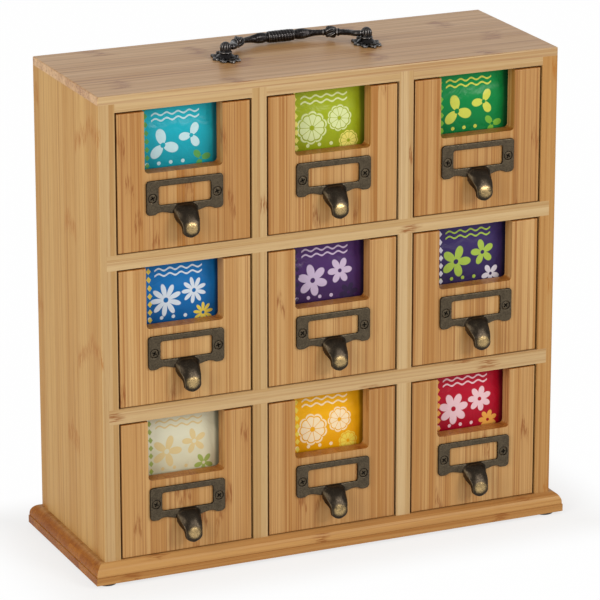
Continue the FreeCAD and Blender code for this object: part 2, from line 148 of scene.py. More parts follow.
class MetalSettings(bpy.types.PropertyGroup):
    """Cast bronze of the pulls and cast iron of the handle."""

    bronze: colour("Bronze patina", "Aged face of the pulls", linear(93, 82, 65))
    bronze_dark: colour("Dark patina", "Hollows and tongues of the pulls", linear(42, 35, 27))
    brass: colour("Worn brass", "Bare metal where fingers rub", linear(188, 160, 110))
    iron: colour("Iron", "Body of the cast handle", linear(36, 33, 33))
    iron_worn: colour("Worn iron", "Raised edges of the handle", linear(172, 168, 166))
    screw: colour("Screw", "Blackened screws", linear(46, 42, 38))


class PullSettings(bpy.types.PropertyGroup):
    """A cast label pull: its plate, its window and its tongue."""

    width: length("Width", "Width of the plate", 0.0475)
    height: length("Height", "Height of the plate", 0.0204)
    thickness: length("Thickness", "Thickness of the plate", 0.0015)
    corner: length("Corner", "Radius of the plate's upper corners", 0.0022)
    lobe: length("Lobe", "Radius of the plate's lower corners", 0.0026)
    lobe_width: length("Lobe width", "Width of each lobe", 0.0054)
    scallop: length("Scallop", "Rise of the wave beside the tongue", 0.0014)
    window_width: length("Window width", "Width of the label window", 0.032)
    window_height: length("Window height", "Height of the label window", 0.0111)
    window_band: length("Band", "Width of the plate above its window", 0.0037)
    window_corner: length("Window corner", "Radius of the window's corners", 0.0013)
    screw_spacing: length("Screw spacing", "Distance between the two screws", 0.0397)
    screw_drop: length("Screw drop", "Depth of the screws below the plate's top", 0.0104)
    screw_hole: length("Screw hole", "Radius of each screw's seat", 0.00255)
    tongue_root: length("Tongue root", "Width of the tongue where it leaves the plate", 0.0158)
    tongue_tip: length("Tongue tip", "Width of the tongue near its tip", 0.0104)
    tongue_thickness: length("Tongue thickness", "Thickness of the tongue", 0.0026)
    tongue_reach: length("Reach", "From the drawer front to the tongue's outermost point", 0.0118)
    tongue_drop: length("Drop", "From the plate's lower edge to the tip", 0.0128)
    grain: length("Casting grain", "Size of the cast surface's cells", 0.00033)


class SachetSettings(bpy.types.PropertyGroup):
    """Foil sachets that stand in the drawers."""

    width: length("Width", "Width of a sachet", 0.066)
    height: length("Height", "Height of a sachet", 0.074)
    thickness: length("Thickness", "Thickness of a filled sachet", 0.0042)
    seal: length("Seal", "Height of the crimped seals", 0.006)
    crimp: length("Crimp", "Pitch of the seals' ridges", 0.0011)
    crease: length("Crease", "Depth of the foil's dents and folds", 0.00055)
    count: IntProperty(name="Count", description="Sachets in each drawer", default=4, min=2)
    lean: FloatProperty(name="Lean", description="Most that a sachet leans by chance", default=0.011,
                        unit="ROTATION")
    fill: share("Fill", "How tightly a sachet is filled", 0.3)
    gloss: share("Roughness", "Roughness of the satin foil", 0.30)


class HandleSettings(bpy.types.PropertyGroup):
    """The swinging cast handle and its two posts."""

    foot_length: length("Foot length", "Length of a post's leafy foot", 0.025)
    foot_width: length("Foot width", "Width of a post's leafy foot", 0.016)
    foot_thickness: length("Foot thickness", "Thickness of the foot at its screws", 0.0016)
    lobes: IntProperty(name="Lobes", description="Leaves round a foot", default=8, min=3)
    knuckle: length("Knuckle", "Radius of the fluted knuckle", 0.0034)
    pedestal: length("Pedestal", "Radius of the knuckle's flared foot", 0.0054)
    screw_offset: length("Screw offset", "From a post's middle to each of its screws", 0.0086)
    drop: length("Drop", "From the pivots to the middle of the grip", 0.024)
    grip: length("Grip", "Radius of the grip", 0.00375)
    grip_length: length("Grip length", "Length of the grip", 0.018)
    neck_end: length("Neck end", "From the middle to the knuckle's side of each neck", 0.0411)
    neck_bend: length("Neck bend", "Radius of the turn from an arm out to its knuckle", 0.003)
    arm_length: length("Arm length", "Length of each bowed arm", 0.0396)
    groove: length("Groove", "Radius of the groove beside the grip", 0.0027)
    swelling: length("Swelling", "Radius of the swelling beside the groove", 0.0031)
    bar: length("Bar", "Radius of the thin stretch of an arm", 0.0017)
    collar: length("Collar", "Radius of the leafy collar", 0.0031)
    neck: length("Neck", "Radius of the neck beside a knuckle", 0.0018)
    pin: length("Pin", "Radius of the pins that turn in the knuckles", 0.0016)
    pin_depth: length("Pin depth", "How far a pin enters its knuckle", 0.0055)
    knurl: length("Knurl", "Depth of the grip's pattern", 0.00011)
    leaf: length("Leaf relief", "Depth of the collars' leaves", 0.00045)


class StudioSettings(bpy.types.PropertyGroup):
    """Camera and lamps."""

    azimuth: FloatProperty(name="Azimuth", description="Camera's turn to the left of the front, in degrees",
                           default=24.0)
    elevation: FloatProperty(name="Elevation", description="Camera's height above the horizon, in degrees",
                             default=17.63)
    distance: length("Distance", "From the camera to the point it looks at", 2.230)
    view_angle: FloatProperty(name="Focal length", description="Focal length in image widths",
                              default=6.391)
    ambient: FloatProperty(name="Ambient", description="Strength of the even light from all round",
                           default=0.38)
    key_power: FloatProperty(name="Key", description="Power of the soft lamp at the front right, in watts",
                             default=12.6)
    fill_power: FloatProperty(name="Fill", description="Power of the soft lamp on the left, in watts",
                              default=13.5)


# ---------------------------------------------------------------- building node trees

class Value:
    """A node's output. Each sum that Python does with it adds a Math node to its tree."""

    def __init__(self, graph, socket):
        self.graph = graph
        self.socket = socket

    def __add__(self, other):
        return self.graph.maths("ADD", self, other)

    def __sub__(self, other):
        return self.graph.maths("SUBTRACT", self, other)

    def __rsub__(self, other):
        return self.graph.maths("SUBTRACT", other, self)

    def __mul__(self, other):
        return self.graph.maths("MULTIPLY", self, other)

    def __truediv__(self, other):
        return self.graph.maths("DIVIDE", self, other)

    def __pow__(self, other):
        return self.graph.maths("POWER", self, other)

    def __abs__(self):
        return self.graph.maths("ABSOLUTE", self)


class Graph:
    """Short calls for adding nodes to a node tree and linking them."""

    def __init__(self, tree):
        self.tree = tree

    def feed(self, socket, value):
        """Links an output to a socket, or sets the socket's own number, vector or colour."""
        if isinstance(value, Value):
            value = value.socket
        if isinstance(value, bpy.types.NodeSocket):
            self.tree.links.new(value, socket)
        else:
            socket.default_value = (*value[:3], 1.0) if socket.type == "RGBA" else value

    def add(self, kind, inputs=None, **settings):
        """Adds a node, sets its properties and feeds its inputs by name or number."""
        made = self.tree.nodes.new(kind)
        for key, value in settings.items():
            setattr(made, key, value)
        for label, value in (inputs or {}).items():
            self.feed(made.inputs[label], value)
        return made

    def out(self, kind, output=0, inputs=None, **settings):
        """One output of a new node, by name or number."""
        return Value(self, self.add(kind, inputs, **settings).outputs[output])

    def outputs(self, node):
        """All outputs of a node by name."""
        return {socket.name: Value(self, socket) for socket in node.outputs}

    def maths(self, operation, *terms, clamp=False):
        """A Math node's result."""
        return self.out("ShaderNodeMath", 0, dict(enumerate(terms)), operation=operation, use_clamp=clamp)

    def largest(self, first, *others):
        """The largest of several values."""
        for other in others:
            first = self.maths("MAXIMUM", first, other)
        return first

    def mix(self, factor, first, second, blend="MIX"):
        """A colour mix's result."""
        colours = {0: factor, 6: first, 7: second}
        return self.out("ShaderNodeMix", 2, colours, data_type="RGBA", blend_type=blend)

    def vector(self, x, y, z):
        """A vector from three numbers or outputs."""
        return self.out("ShaderNodeCombineXYZ", 0, {"X": x, "Y": y, "Z": z})

    def split(self, vector):
        """The three parts of a vector."""
        return list(self.outputs(self.add("ShaderNodeSeparateXYZ", {0: vector})).values())

    def place(self):
        """A point's place in its object."""
        return self.out("ShaderNodeTexCoord", "Object")

    def noise(self, vector, scale, detail=2.0, roughness=0.5, distortion=0.0):
        """A noise texture's value."""
        return self.out("ShaderNodeTexNoise", 0, {
            "Vector": vector, "Scale": scale, "Detail": detail, "Roughness": roughness,
            "Distortion": distortion})

    def ramp(self, value, low, high):
        """A smooth step from 0 at low to 1 at high."""
        limits = {"Value": value, "From Min": low, "From Max": high}
        return self.out("ShaderNodeMapRange", "Result", limits, interpolation_type="SMOOTHSTEP")

    def group(self, name, inputs):
        """Places a shader node group, feeds its named inputs and gives its outputs by name."""
        return self.outputs(self.add("ShaderNodeGroup", inputs, node_tree=bpy.data.node_groups[name]))

    def surface(self, shader, colour, roughness, height, strength, distance):
        """Feeds a shader its colour, its roughness and its bump."""
        bump = self.out("ShaderNodeBump", "Normal", {
            "Height": height, "Strength": strength, "Distance": distance})
        for label, value in (("Base Color", colour), ("Roughness", roughness), ("Normal", bump)):
            self.feed(shader.inputs[label], value)


def shader_group(name, inputs, outputs=("Color", "Roughness", "Height")):
    """A new shader node group: its graph and its inputs by name.

    Each input is given its default, which is three numbers for a colour. A group ends in an output node.
    """
    group = bpy.data.node_groups.new(name, "ShaderNodeTree")
    for label, default in inputs.items():
        kind = "NodeSocketColor" if isinstance(default, tuple) else "NodeSocketFloat"
        socket = group.interface.new_socket(label, in_out="INPUT", socket_type=kind)
        socket.default_value = (*default, 1.0) if isinstance(default, tuple) else default
    for label in outputs:
        kind = "NodeSocketColor" if label == "Color" else "NodeSocketFloat"
        group.interface.new_socket(label, in_out="OUTPUT", socket_type=kind)
    graph = Graph(group)
    return graph, graph.outputs(graph.add("NodeGroupInput"))


def material(name):
    """A new node material, its graph and its Principled shader."""
    made = bpy.data.materials.new(name)
    made.use_nodes = True
    return made, Graph(made.node_tree), made.node_tree.nodes["Principled BSDF"]


def dress(node, finish):
    """Gives every material slot of an object one finish."""
    if not node.material_slots:
        node.data.materials.append(finish)
    for slot in node.material_slots:
        slot.material = finish


# ---------------------------------------------------------------- bamboo

def bamboo_group():
    """Bamboo strips glued side by side, with fibres along them and a joint of the cane here and there."""
    graph, given = shader_group("Bamboo strips", {
        "Along": 0.0, "Across": 0.0, "Through": 0.0, "Seed": 0.0, "Strip": 0.019, "Layer": 0.005,
        "Knot pitch": 0.24, "Fineness": 1.0, "Contrast": 1.0, "Pins": 0.3,
        "Pale": (0.6, 0.4, 0.2), "Golden": (0.5, 0.3, 0.1), "Fibre": (0.3, 0.1, 0.05),
        "Knot": (0.2, 0.1, 0.05)})
    maths, ramp = graph.maths, graph.ramp

    # Which strip and which layer a point is in, where in its strip, and the strip's chance values.
    seed_shift, strip_shift = 0.0137, 37.0
    shift = given["Seed"] * seed_shift
    across = (given["Across"] + shift) / given["Strip"]
    through = (given["Through"] + shift) / given["Layer"]
    strip = maths("FLOOR", across)
    inside = across - strip
    cell = graph.vector(strip, maths("FLOOR", through), given["Seed"])
    chance = graph.outputs(graph.add("ShaderNodeTexWhiteNoise", {"Vector": cell}, noise_dimensions="3D"))
    tone = chance["Value"]
    red, green, blue = graph.split(chance["Color"])

    def fibres(along, side, detail):
        """Noise drawn out along the grain, with its waves per metre along the grain and across it."""
        side = given["Fineness"] * side
        place = graph.vector(given["Along"] * along + tone * strip_shift, given["Across"] * side,
                             given["Through"] * side + given["Seed"])
        return graph.noise(place, 1.0, detail, 0.6)

    broad = fibres(1.6, 110.0, 2.0)
    streak = fibres(3.0, 420.0, 3.0)
    fine = fibres(55.0, 1300.0, 2.0)
    pin = fibres(5.0, 760.0, 1.0)

    # A joint of the cane: a bent, ragged band of short dark flecks, in about half of the strips.
    pitch = given["Knot pitch"]
    bend_depth, raggedness, band_core, band_reach, share_without = 0.010, 0.016, 0.0005, 0.0085, 0.45
    off = (maths("FRACT", (given["Along"] + green * pitch) / pitch) - 0.5) * pitch
    bend = (abs(inside - red) - 0.3) * bend_depth
    ragged = (fibres(70.0, 330.0, 2.0) - 0.5) * raggedness
    band = 1.0 - ramp(abs(off + bend + ragged), band_core, band_reach)
    fleck = ramp(fibres(130.0, 1150.0, 2.0), 0.42, 0.58)
    joint = band * maths("GREATER_THAN", blue, share_without) * (fleck * 0.88 + 0.12)

    # Colour: the strip's own tone and broad clouds, then streaks, fine fibres, pins, seams and joints.
    contrast = given["Contrast"]
    clouds = (broad - 0.5) * 1.3 * contrast
    golden = maths("ADD", (tone - 0.5) * 0.75 + 0.5, clouds, clamp=True)
    wood = graph.mix(golden, given["Pale"], given["Golden"])
    seam = 1.0 - ramp(maths("MINIMUM", inside, 1.0 - inside), 0.0, 0.018)
    for amount, label in (
            (ramp(streak, 0.50, 0.78) * (contrast * 0.50), "Fibre"),
            (ramp(streak, 0.46, 0.25) * (contrast * 0.30), "Pale"),
            (ramp(fine, 0.52, 0.80) * 0.28, "Fibre"),
            (ramp(pin, 0.50, 0.72) * given["Pins"], "Fibre"),
            (ramp(pin, 0.46, 0.30) * given["Pins"], "Pale"),
            (seam * 0.22, "Fibre"),
            (joint * 0.84, "Knot")):
        wood = graph.mix(amount, wood, given[label])
    graph.add("NodeGroupOutput", {
        "Color": wood, "Roughness": (fine - 0.5) * 0.25, "Height": fine * -0.6 + joint * 0.5})


def bamboo_material(name, axes, seed, strip, fineness=1.0, contrast=1.0, knot_pitch=0.24, tone=0.0,
                    colours=None, sheen=0.12, pins=0.3, gloss=0.0, edge=None, edge_colours=None,
                    ends=0.0, painted_shade_rim=None, knot=None):
    """Bamboo whose grain, width and thickness lie along the named axes.

    A tone over zero makes the board more golden, and under zero paler. The colours are its pale and its
    golden strips, the sheen is the strength of its lacquer's reflection, the gloss is taken from its
    roughness, and the pins are the strength of its finest lines. Before the edge, a place on Y, a board
    shows the edge colours. The ends are how strongly the faces across the grain are stained.
    The rim is the middle and the half width, on X, of a board whose long edges are darkened as painted
    shade, standing for the shade in the gaps beside the drawer fronts.
    """
    settings = bpy.context.scene.tea_chest_bamboo
    made, graph, shader = material(name)
    coordinate = graph.outputs(graph.add("ShaderNodeTexCoord"))
    parts = dict(zip("XYZ", graph.split(coordinate["Object"])))
    pale, golden = (np.array(part) for part in colours or (settings.pale, settings.golden))
    values = {
        "Seed": seed, "Strip": strip, "Layer": settings.layer, "Knot pitch": knot_pitch,
        "Fineness": fineness, "Contrast": contrast, "Pins": pins,
        "Along": parts[axes[0]], "Across": parts[axes[1]], "Through": parts[axes[2]],
        "Pale": pale + (golden - pale) * tone,
        "Golden": np.clip(golden + (golden - pale) * tone, 0, 1),
        "Fibre": settings.fibre, "Knot": knot or settings.knot,
    }
    wood = graph.group("Bamboo strips", values)
    shown = wood["Color"]
    if edge is not None:
        pale_edge, golden_edge = edge_colours
        plain = graph.group("Bamboo strips", {**values, "Pale": pale_edge, "Golden": golden_edge})
        behind = graph.ramp(parts["Y"], edge + 0.6 * MM, edge + 0.2 * MM)
        shown = graph.mix(behind, shown, plain["Color"])
    if ends:
        facing = dict(zip("XYZ", graph.split(coordinate["Normal"])))[axes[0]]
        cut = graph.ramp(abs(facing), 0.30, 0.75) * ends
        shown = graph.mix(cut, shown, settings.cut_end, blend="MULTIPLY")
    # Painted shade: the long edges of a drawer front go towards a dark brown, standing for the shade in the
    # gaps beside it.
    if painted_shade_rim is not None:
        middle, half = painted_shade_rim
        gap_shade_share = graph.ramp(abs(parts["X"] - middle), half - 0.5 * MM, half - 0.1 * MM) * 0.8
        shown = graph.mix(gap_shade_share, shown, settings.painted_gap_shade)
    rough = graph.maths("ADD", wood["Roughness"], settings.lacquer - gloss, clamp=True)
    graph.surface(shader, shown, rough, wood["Height"], strength=0.25, distance=0.08 * MM)
    shader.inputs["Specular IOR Level"].default_value = sheen
    return made


# How golden each drawer's front is, from the first to the ninth.
FRONT_TONES = (0.40, 0.20, 0.30, -0.1, 0.05, 0.0, 0.1, 0.15, 0.05)


class TEACHEST_OT_bamboo(bpy.types.Operator):
    """Dress the casing's boards and the drawers' fronts, walls and floors in bamboo"""

    bl_idname = "tea_chest.bamboo"
    bl_label = "Bamboo"

    def execute(self, context):
        settings = context.scene.tea_chest_bamboo
        bamboo_group()
        side = {"colours": (settings.side_pale, settings.side_golden), "pins": 0.35, "knot_pitch": 0.13,
                "sheen": 0.03, "edge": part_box("side_left")[0].y, "knot": settings.side_knot}
        special = {
            "top_panel": {"colours": (settings.top_pale, settings.top_golden), "contrast": 2.1,
                          "pins": 0.42, "knot_pitch": 0.16, "sheen": 0.40,
                          "edge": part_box("top_panel")[0].y,
                          "edge_colours": (settings.pale, settings.golden)},
            "base_board": {"colours": (settings.base_pale, settings.base_golden), "contrast": 1.6,
                           "gloss": 0.10, "sheen": 0.06, "ends": 1.0},
            "side_left": {**side, "edge_colours": (settings.pale, settings.golden)},
            "side_right": {**side, "edge_colours": (settings.front_pale, settings.front_golden)},
            "back_panel": {"tone": -0.2},
        }
        for number, (node, axes) in enumerate(CASE_BOARDS.items()):
            finish = bamboo_material("bamboo_" + node, axes, 3.7 * number + 1.3, settings.strip,
                                     **special.get(node, {}))
            dress(frame["nodes"][node], finish)
        inner = bamboo_material("bamboo_drawer_walls", "YZX", 5.1, settings.strip, contrast=0.7, tone=-0.1)
        for number in DRAWERS:
            low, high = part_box(f"drawer_{number}_front")
            # The front's long edges get painted shade for the gaps beside the drawer.
            painted_shade_rim = ((low.x + high.x) / 2, (high.x - low.x) / 2)
            front = bamboo_material(f"bamboo_drawer_{number}", "ZXY", 11.3 * number, settings.front_strip,
                                    fineness=1.2, contrast=1.1, knot_pitch=0.15, pins=0.72,
                                    tone=FRONT_TONES[number - 1], sheen=0.2, ends=0.75, painted_shade_rim=painted_shade_rim,
                                    colours=(settings.front_pale, settings.front_golden))
            dress(frame["nodes"][f"drawer_{number}_front"], front)
            dress(frame["nodes"][f"drawer_{number}_walls"], inner)
            dress(frame["nodes"][f"drawer_{number}_floor"], inner)
        return {"FINISHED"}


class TEACHEST_OT_feet(bpy.types.Operator):
    """Dress the four foot pads in matt rubber"""

    bl_idname = "tea_chest.feet"
    bl_label = "Feet"

    def execute(self, context):
        made, graph, shader = material("foot_rubber")
        grain = graph.noise(graph.place(), 900.0)
        rubber = graph.mix(grain, linear(58, 54, 50), linear(86, 80, 74))
        graph.feed(shader.inputs["Base Color"], rubber)
        shader.inputs["Roughness"].default_value = 0.7
        dress(frame["nodes"]["feet"], made)
        return {"FINISHED"}


# ---------------------------------------------------------------- making meshes

def linked(name, data):
    """A scene object at the origin for a mesh, a curve, a lamp or a camera."""
    made = bpy.data.objects.new(name, data)
    bpy.context.scene.collection.objects.link(made)
    return made


def mesh_from(name, vertices, faces):
    """A mesh of vertices and faces whose faces point outwards."""
    mesh = bpy.data.meshes.new(name)
    mesh.from_pydata([tuple(point) for point in vertices], [], faces)
    work = bmesh.new()
    work.from_mesh(mesh)
    bmesh.ops.remove_doubles(work, verts=work.verts, dist=1e-7)
    bmesh.ops.recalc_face_normals(work, faces=work.faces)
    work.to_mesh(mesh)
    work.free()
    return mesh


def skin_rings(name, rings):
    """A closed mesh through rings of equally many points, with a flat cap at each end."""
    count = len(rings[0])
    vertices = [point for ring in rings for point in ring]
    faces = []
    for row in range(len(rings) - 1):
        for step in range(count):
            after = (step + 1) % count
            faces.append((row * count + step, row * count + after,
                          (row + 1) * count + after, (row + 1) * count + step))
    faces.append(tuple(reversed(range(count))))
    faces.append(tuple(range((len(rings) - 1) * count, len(rings) * count)))
    return mesh_from(name, vertices, faces)


def evaluated_mesh(thing):
    """The object's mesh with its modifiers applied; the object is removed."""
    graph = bpy.context.evaluated_depsgraph_get()
    graph.update()
    mesh = bpy.data.meshes.new_from_object(thing.evaluated_get(graph))
    bpy.data.objects.remove(thing)
    return mesh


def joined(name, meshes):
    """One mesh that holds several."""
    work = bmesh.new()
    for mesh in meshes:
        work.from_mesh(mesh)
    result = bpy.data.meshes.new(name)
    work.to_mesh(result)
    work.free()
    return result


def cast(mesh, cell, smoothing, keep):
    """Fuses overlapping shells into one soft-edged casting, thinned to the share keep."""
    body = linked("casting", mesh)
    remesh = body.modifiers.new("fuse", "REMESH")
    remesh.mode = "VOXEL"
    remesh.voxel_size = cell
    smooth = body.modifiers.new("soften", "SMOOTH")
    smooth.iterations = smoothing
    thin = body.modifiers.new("thin", "DECIMATE")
    thin.ratio = keep
    result = evaluated_mesh(body)
    result.shade_smooth()
    return result


def mesh_arrays(mesh):
    """Vertex places, vertex normals and edges of a mesh, as arrays."""
    places = np.empty(len(mesh.vertices) * 3)
    mesh.vertices.foreach_get("co", places)
    normals = np.empty(len(mesh.vertices) * 3)
    mesh.vertex_normals.foreach_get("vector", normals)
    edges = np.empty(len(mesh.edges) * 2, dtype=int)
    mesh.edges.foreach_get("vertices", edges)
    return places.reshape(-1, 3), normals.reshape(-1, 3), edges.reshape(-1, 2)


def raised(mesh, reach, rounds=3):
    """From 0 in hollows to 1 on ridges, 0.5 where the surface is flat, smoothed over its neighbours."""
    places, normals, edges = mesh_arrays(mesh)
    first, second = edges.T
    span = places[second] - places[first]
    size = np.linalg.norm(span, axis=1) + 1e-12
    total = np.zeros(len(places))
    count = np.zeros(len(places))
    for here, sign in ((first, -1), (second, 1)):
        bend = sign * np.einsum("ij,ij->i", normals[here], span) / size ** 2
        np.add.at(total, here, bend)
        np.add.at(count, here, 1)
    value = total / np.maximum(count, 1)
    for _ in range(rounds):
        blurred = value.copy()
        np.add.at(blurred, first, value[second])
        np.add.at(blurred, second, value[first])
        value = blurred / (count + 1)
    return np.clip(0.5 + value * reach, 0, 1)


def store(mesh, **values):
    """Keeps one number for each vertex in each named attribute."""
    for name, numbers in values.items():
        attribute = mesh.attributes.new(name, "FLOAT", "POINT")
        attribute.data.foreach_set("value", numbers.astype(np.float32))


def step_between(value, low, high):
    """Smooth step of an array or a number from 0 at low to 1 at high."""
    share = np.clip((value - low) / (high - low), 0, 1)
    return share * share * (3 - 2 * share)


def place_mesh(template, name, offset):
    """A copy of a mesh at an offset, in an object at the origin."""
    mesh = template.copy()
    mesh.transform(Matrix.Translation(offset))
    return linked(name, mesh)


def through_points(points, count):
    """Evenly stepped points on a smooth curve through the given ones."""
    points = np.array(points, dtype=float)
    knots = np.arange(len(points))
    places = np.linspace(0, len(points) - 1, count)
    tangents = np.gradient(points, axis=0)
    index = np.minimum(places.astype(int), len(points) - 2)
    share = (places - knots[index])[:, None]
    a, b = points[index], points[index + 1]
    ta, tb = tangents[index], tangents[index + 1]
    square, cube = share ** 2, share ** 3
    return ((2 * cube - 3 * square + 1) * a + (cube - 2 * square + share) * ta
            + (3 * square - 2 * cube) * b + (cube - square) * tb)


# ---------------------------------------------------------------- geometry node helpers

class Shaping(Graph):
    """Short calls for geometry nodes."""

    def pushed(self, geometry, distance):
        """Geometry moved along its own normals."""
        push = self.out("ShaderNodeVectorMath", 0, {
            0: self.out("GeometryNodeInputNormal"), "Scale": distance}, operation="SCALE")
        return self.out("GeometryNodeSetPosition", 0, {"Geometry": geometry, "Offset": push})

    def captured(self, geometry, values):
        """Geometry that keeps values as they are here; both by name."""
        kept = self.add("GeometryNodeCaptureAttribute", {"Geometry": geometry}, domain="POINT")
        for label, value in values.items():
            kept.capture_items.new("FLOAT", label)
            self.feed(kept.inputs[label], value)
        return self.outputs(kept)

    def instances(self, points, instance, turn):
        """An instance at each point, turned and made real."""
        spread = self.out("GeometryNodeInstanceOnPoints", 0, {
            "Points": points, "Instance": instance, "Rotation": turn})
        return self.out("GeometryNodeRealizeInstances", 0, {"Geometry": spread})

    def close(self, geometry, finish):
        """Ends a group with its geometry, made real, in a material."""
        real = self.out("GeometryNodeRealizeInstances", 0, {"Geometry": geometry})
        dressed = self.out("GeometryNodeSetMaterial", 0, {"Geometry": real, "Material": finish})
        self.add("NodeGroupOutput", {"Geometry": dressed})


def geometry_group(name, takes_geometry, **labels):
    """A new geometry node group, with inputs named for each kind: its graph and its inputs by name."""
    group = bpy.data.node_groups.new(name, "GeometryNodeTree")
    for end in ("OUTPUT", "INPUT") if takes_geometry else ("OUTPUT",):
        group.interface.new_socket("Geometry", in_out=end, socket_type="NodeSocketGeometry")
    for kind, names in labels.items():
        for label in names:
            group.interface.new_socket(label, in_out="INPUT", socket_type="NodeSocket" + kind)
    graph = Shaping(group)
    return graph, graph.outputs(graph.add("NodeGroupInput"))


def grown(group_name, mesh, values):
    """The mesh that a geometry node group makes of another one, with its inputs set by name."""
    thing = linked("grown", mesh)
    modifier = thing.modifiers.new("grow", "NODES")
    modifier.node_group = bpy.data.node_groups[group_name]
    for socket in modifier.node_group.interface.items_tree:
        if socket.in_out == "INPUT" and socket.name in values:
            modifier[socket.identifier] = values[socket.name]
    return evaluated_mesh(thing)


# ---------------------------------------------------------------- metal

def aged_metal_group():
    """Patina that thins on ridges and deepens in hollows, with fine specks of the cast surface."""
    graph, given = shader_group("Aged metal", {
        "Raised": 0.5, "Worn": 0.0, "Speck": 2400.0, "Cloud": 150.0, "Speck depth": 0.5,
        "Patina": (0.1, 0.1, 0.1), "Dark": (0.03, 0.03, 0.03), "Bare": (0.6, 0.5, 0.4)})
    place = graph.place()
    specks = graph.noise(place, given["Speck"], 3.0, 0.65)
    clouds = graph.noise(place, given["Cloud"], 3.0, 0.6)
    ridge = graph.ramp(given["Raised"], 0.54, 0.80)
    hollow = graph.ramp(given["Raised"], 0.48, 0.24)

    shade = (clouds - 0.5) * 0.9 + 0.30 + (specks - 0.5) * given["Speck depth"]
    shade = graph.maths("ADD", shade, hollow * 0.75, clamp=True)
    patches = (specks - 0.5) + (clouds - 0.5) * 0.6
    scuffed = graph.ramp(given["Worn"] + patches * 2.2, 0.10, 1.35) * graph.ramp(given["Worn"], 0.0, 0.9)
    bare = graph.maths("MAXIMUM", ridge * (clouds * 0.5 + 0.10), scuffed, clamp=True)
    graph.add("NodeGroupOutput", {
        "Color": graph.mix(bare, graph.mix(shade, given["Patina"], given["Dark"]), given["Bare"]),
        "Roughness": (specks - 0.5) * 0.3 - (bare * 0.12 + hollow * 0.10),
        "Height": specks + clouds * 0.6})


def metal_material(name, patina, dark, bare, roughness, bump_depth, **values):
    """An aged metal that reads the raised and worn attributes of its piece."""
    _, graph, shader = material(name)
    given = {"Patina": patina, "Dark": dark, "Bare": bare}
    for label in ("Raised", "Worn"):
        given[label] = graph.out("ShaderNodeAttribute", "Fac", attribute_name=label.lower())
    for label, value in values.items():
        given[label.replace("_", " ")] = value
    metal = graph.group("Aged metal", given)
    rough = graph.maths("ADD", metal["Roughness"], roughness, clamp=True)
    graph.surface(shader, metal["Color"], rough, metal["Height"], strength=0.6, distance=bump_depth)
    shader.inputs["Metallic"].default_value = 0.9


class TEACHEST_OT_metal(bpy.types.Operator):
    """Make the bronze, iron and screw finishes"""

    bl_idname = "tea_chest.metal"
    bl_label = "Metal finishes"

    def execute(self, context):
        settings = context.scene.tea_chest_metal
        aged_metal_group()
        metal_material("aged_bronze", settings.bronze, settings.bronze_dark, settings.brass,
                       roughness=0.42, bump_depth=0.06 * MM, Speck=1700.0, Cloud=260.0, Speck_depth=2.0)
        metal_material("aged_iron", settings.iron, [0.45 * part for part in settings.iron],
                       settings.iron_worn, roughness=0.28, bump_depth=0.10 * MM, Speck=1500.0)
        metal_material("aged_steel", settings.screw, [0.5 * part for part in settings.screw],
                       settings.iron_worn, roughness=0.40, bump_depth=0.05 * MM)
        dress(frame["nodes"]["base_screws"], bpy.data.materials["aged_steel"])
        return {"FINISHED"}


# ---------------------------------------------------------------- screws

def screw_heads_group():
    """Round heads with a cross recess, one at each point, each turned by chance about its own axis."""
    graph, given = geometry_group(
        "Screw heads", True, Rotation=("Facing",), Int=("Seed",), Material=("Material",),
        Float=("Radius", "Height", "Dome", "Recess arm", "Recess width", "Recess depth"))

    # The head: a short cylinder whose upper face falls away to its rim.
    head = graph.out("GeometryNodeMeshCylinder", "Mesh", {
        "Vertices": 32, "Side Segments": 1, "Fill Segments": 6, "Radius": given["Radius"],
        "Depth": given["Height"]})
    x, y, z = graph.split(graph.out("GeometryNodeInputPosition"))
    share = graph.maths("SQRT", x * x + y * y) / given["Radius"]
    fall = share ** 3.0 * given["Dome"] * graph.maths("GREATER_THAN", z, 0.0)
    domed = graph.out("GeometryNodeSetPosition", 0, {
        "Geometry": head, "Offset": graph.vector(0.0, 0.0, fall * -1.0)})

    # The recess: two crossed bars, cut down from above the head.
    arm, width, deep = given["Recess arm"], given["Recess width"], given["Recess depth"] * 2.0
    lift = graph.vector(0.0, 0.0, given["Height"] * 0.5)
    cut = graph.add("GeometryNodeMeshBoolean", {"Mesh 1": domed}, operation="DIFFERENCE")
    for size in ((arm, width), (width, arm)):
        bar = graph.out("GeometryNodeMeshCube", "Mesh", {"Size": graph.vector(*size, deep)})
        lifted = graph.out("GeometryNodeTransform", 0, {"Geometry": bar, "Translation": lift})
        graph.feed(cut.inputs["Mesh 2"], lifted)

    chance = graph.out("FunctionNodeRandomValue", 1, {3: math.pi / 2, "Seed": given["Seed"]},
                       data_type="FLOAT")
    roll = graph.out("FunctionNodeEulerToRotation", 0, {0: graph.vector(0.0, 0.0, chance)})
    turn = graph.out("FunctionNodeRotateRotation", 0, {"Rotation": given["Facing"], "Rotate By": roll},
                     rotation_space="LOCAL")
    heads = graph.instances(given["Geometry"], cut.outputs["Mesh"], turn)
    graph.close(heads, given["Material"])


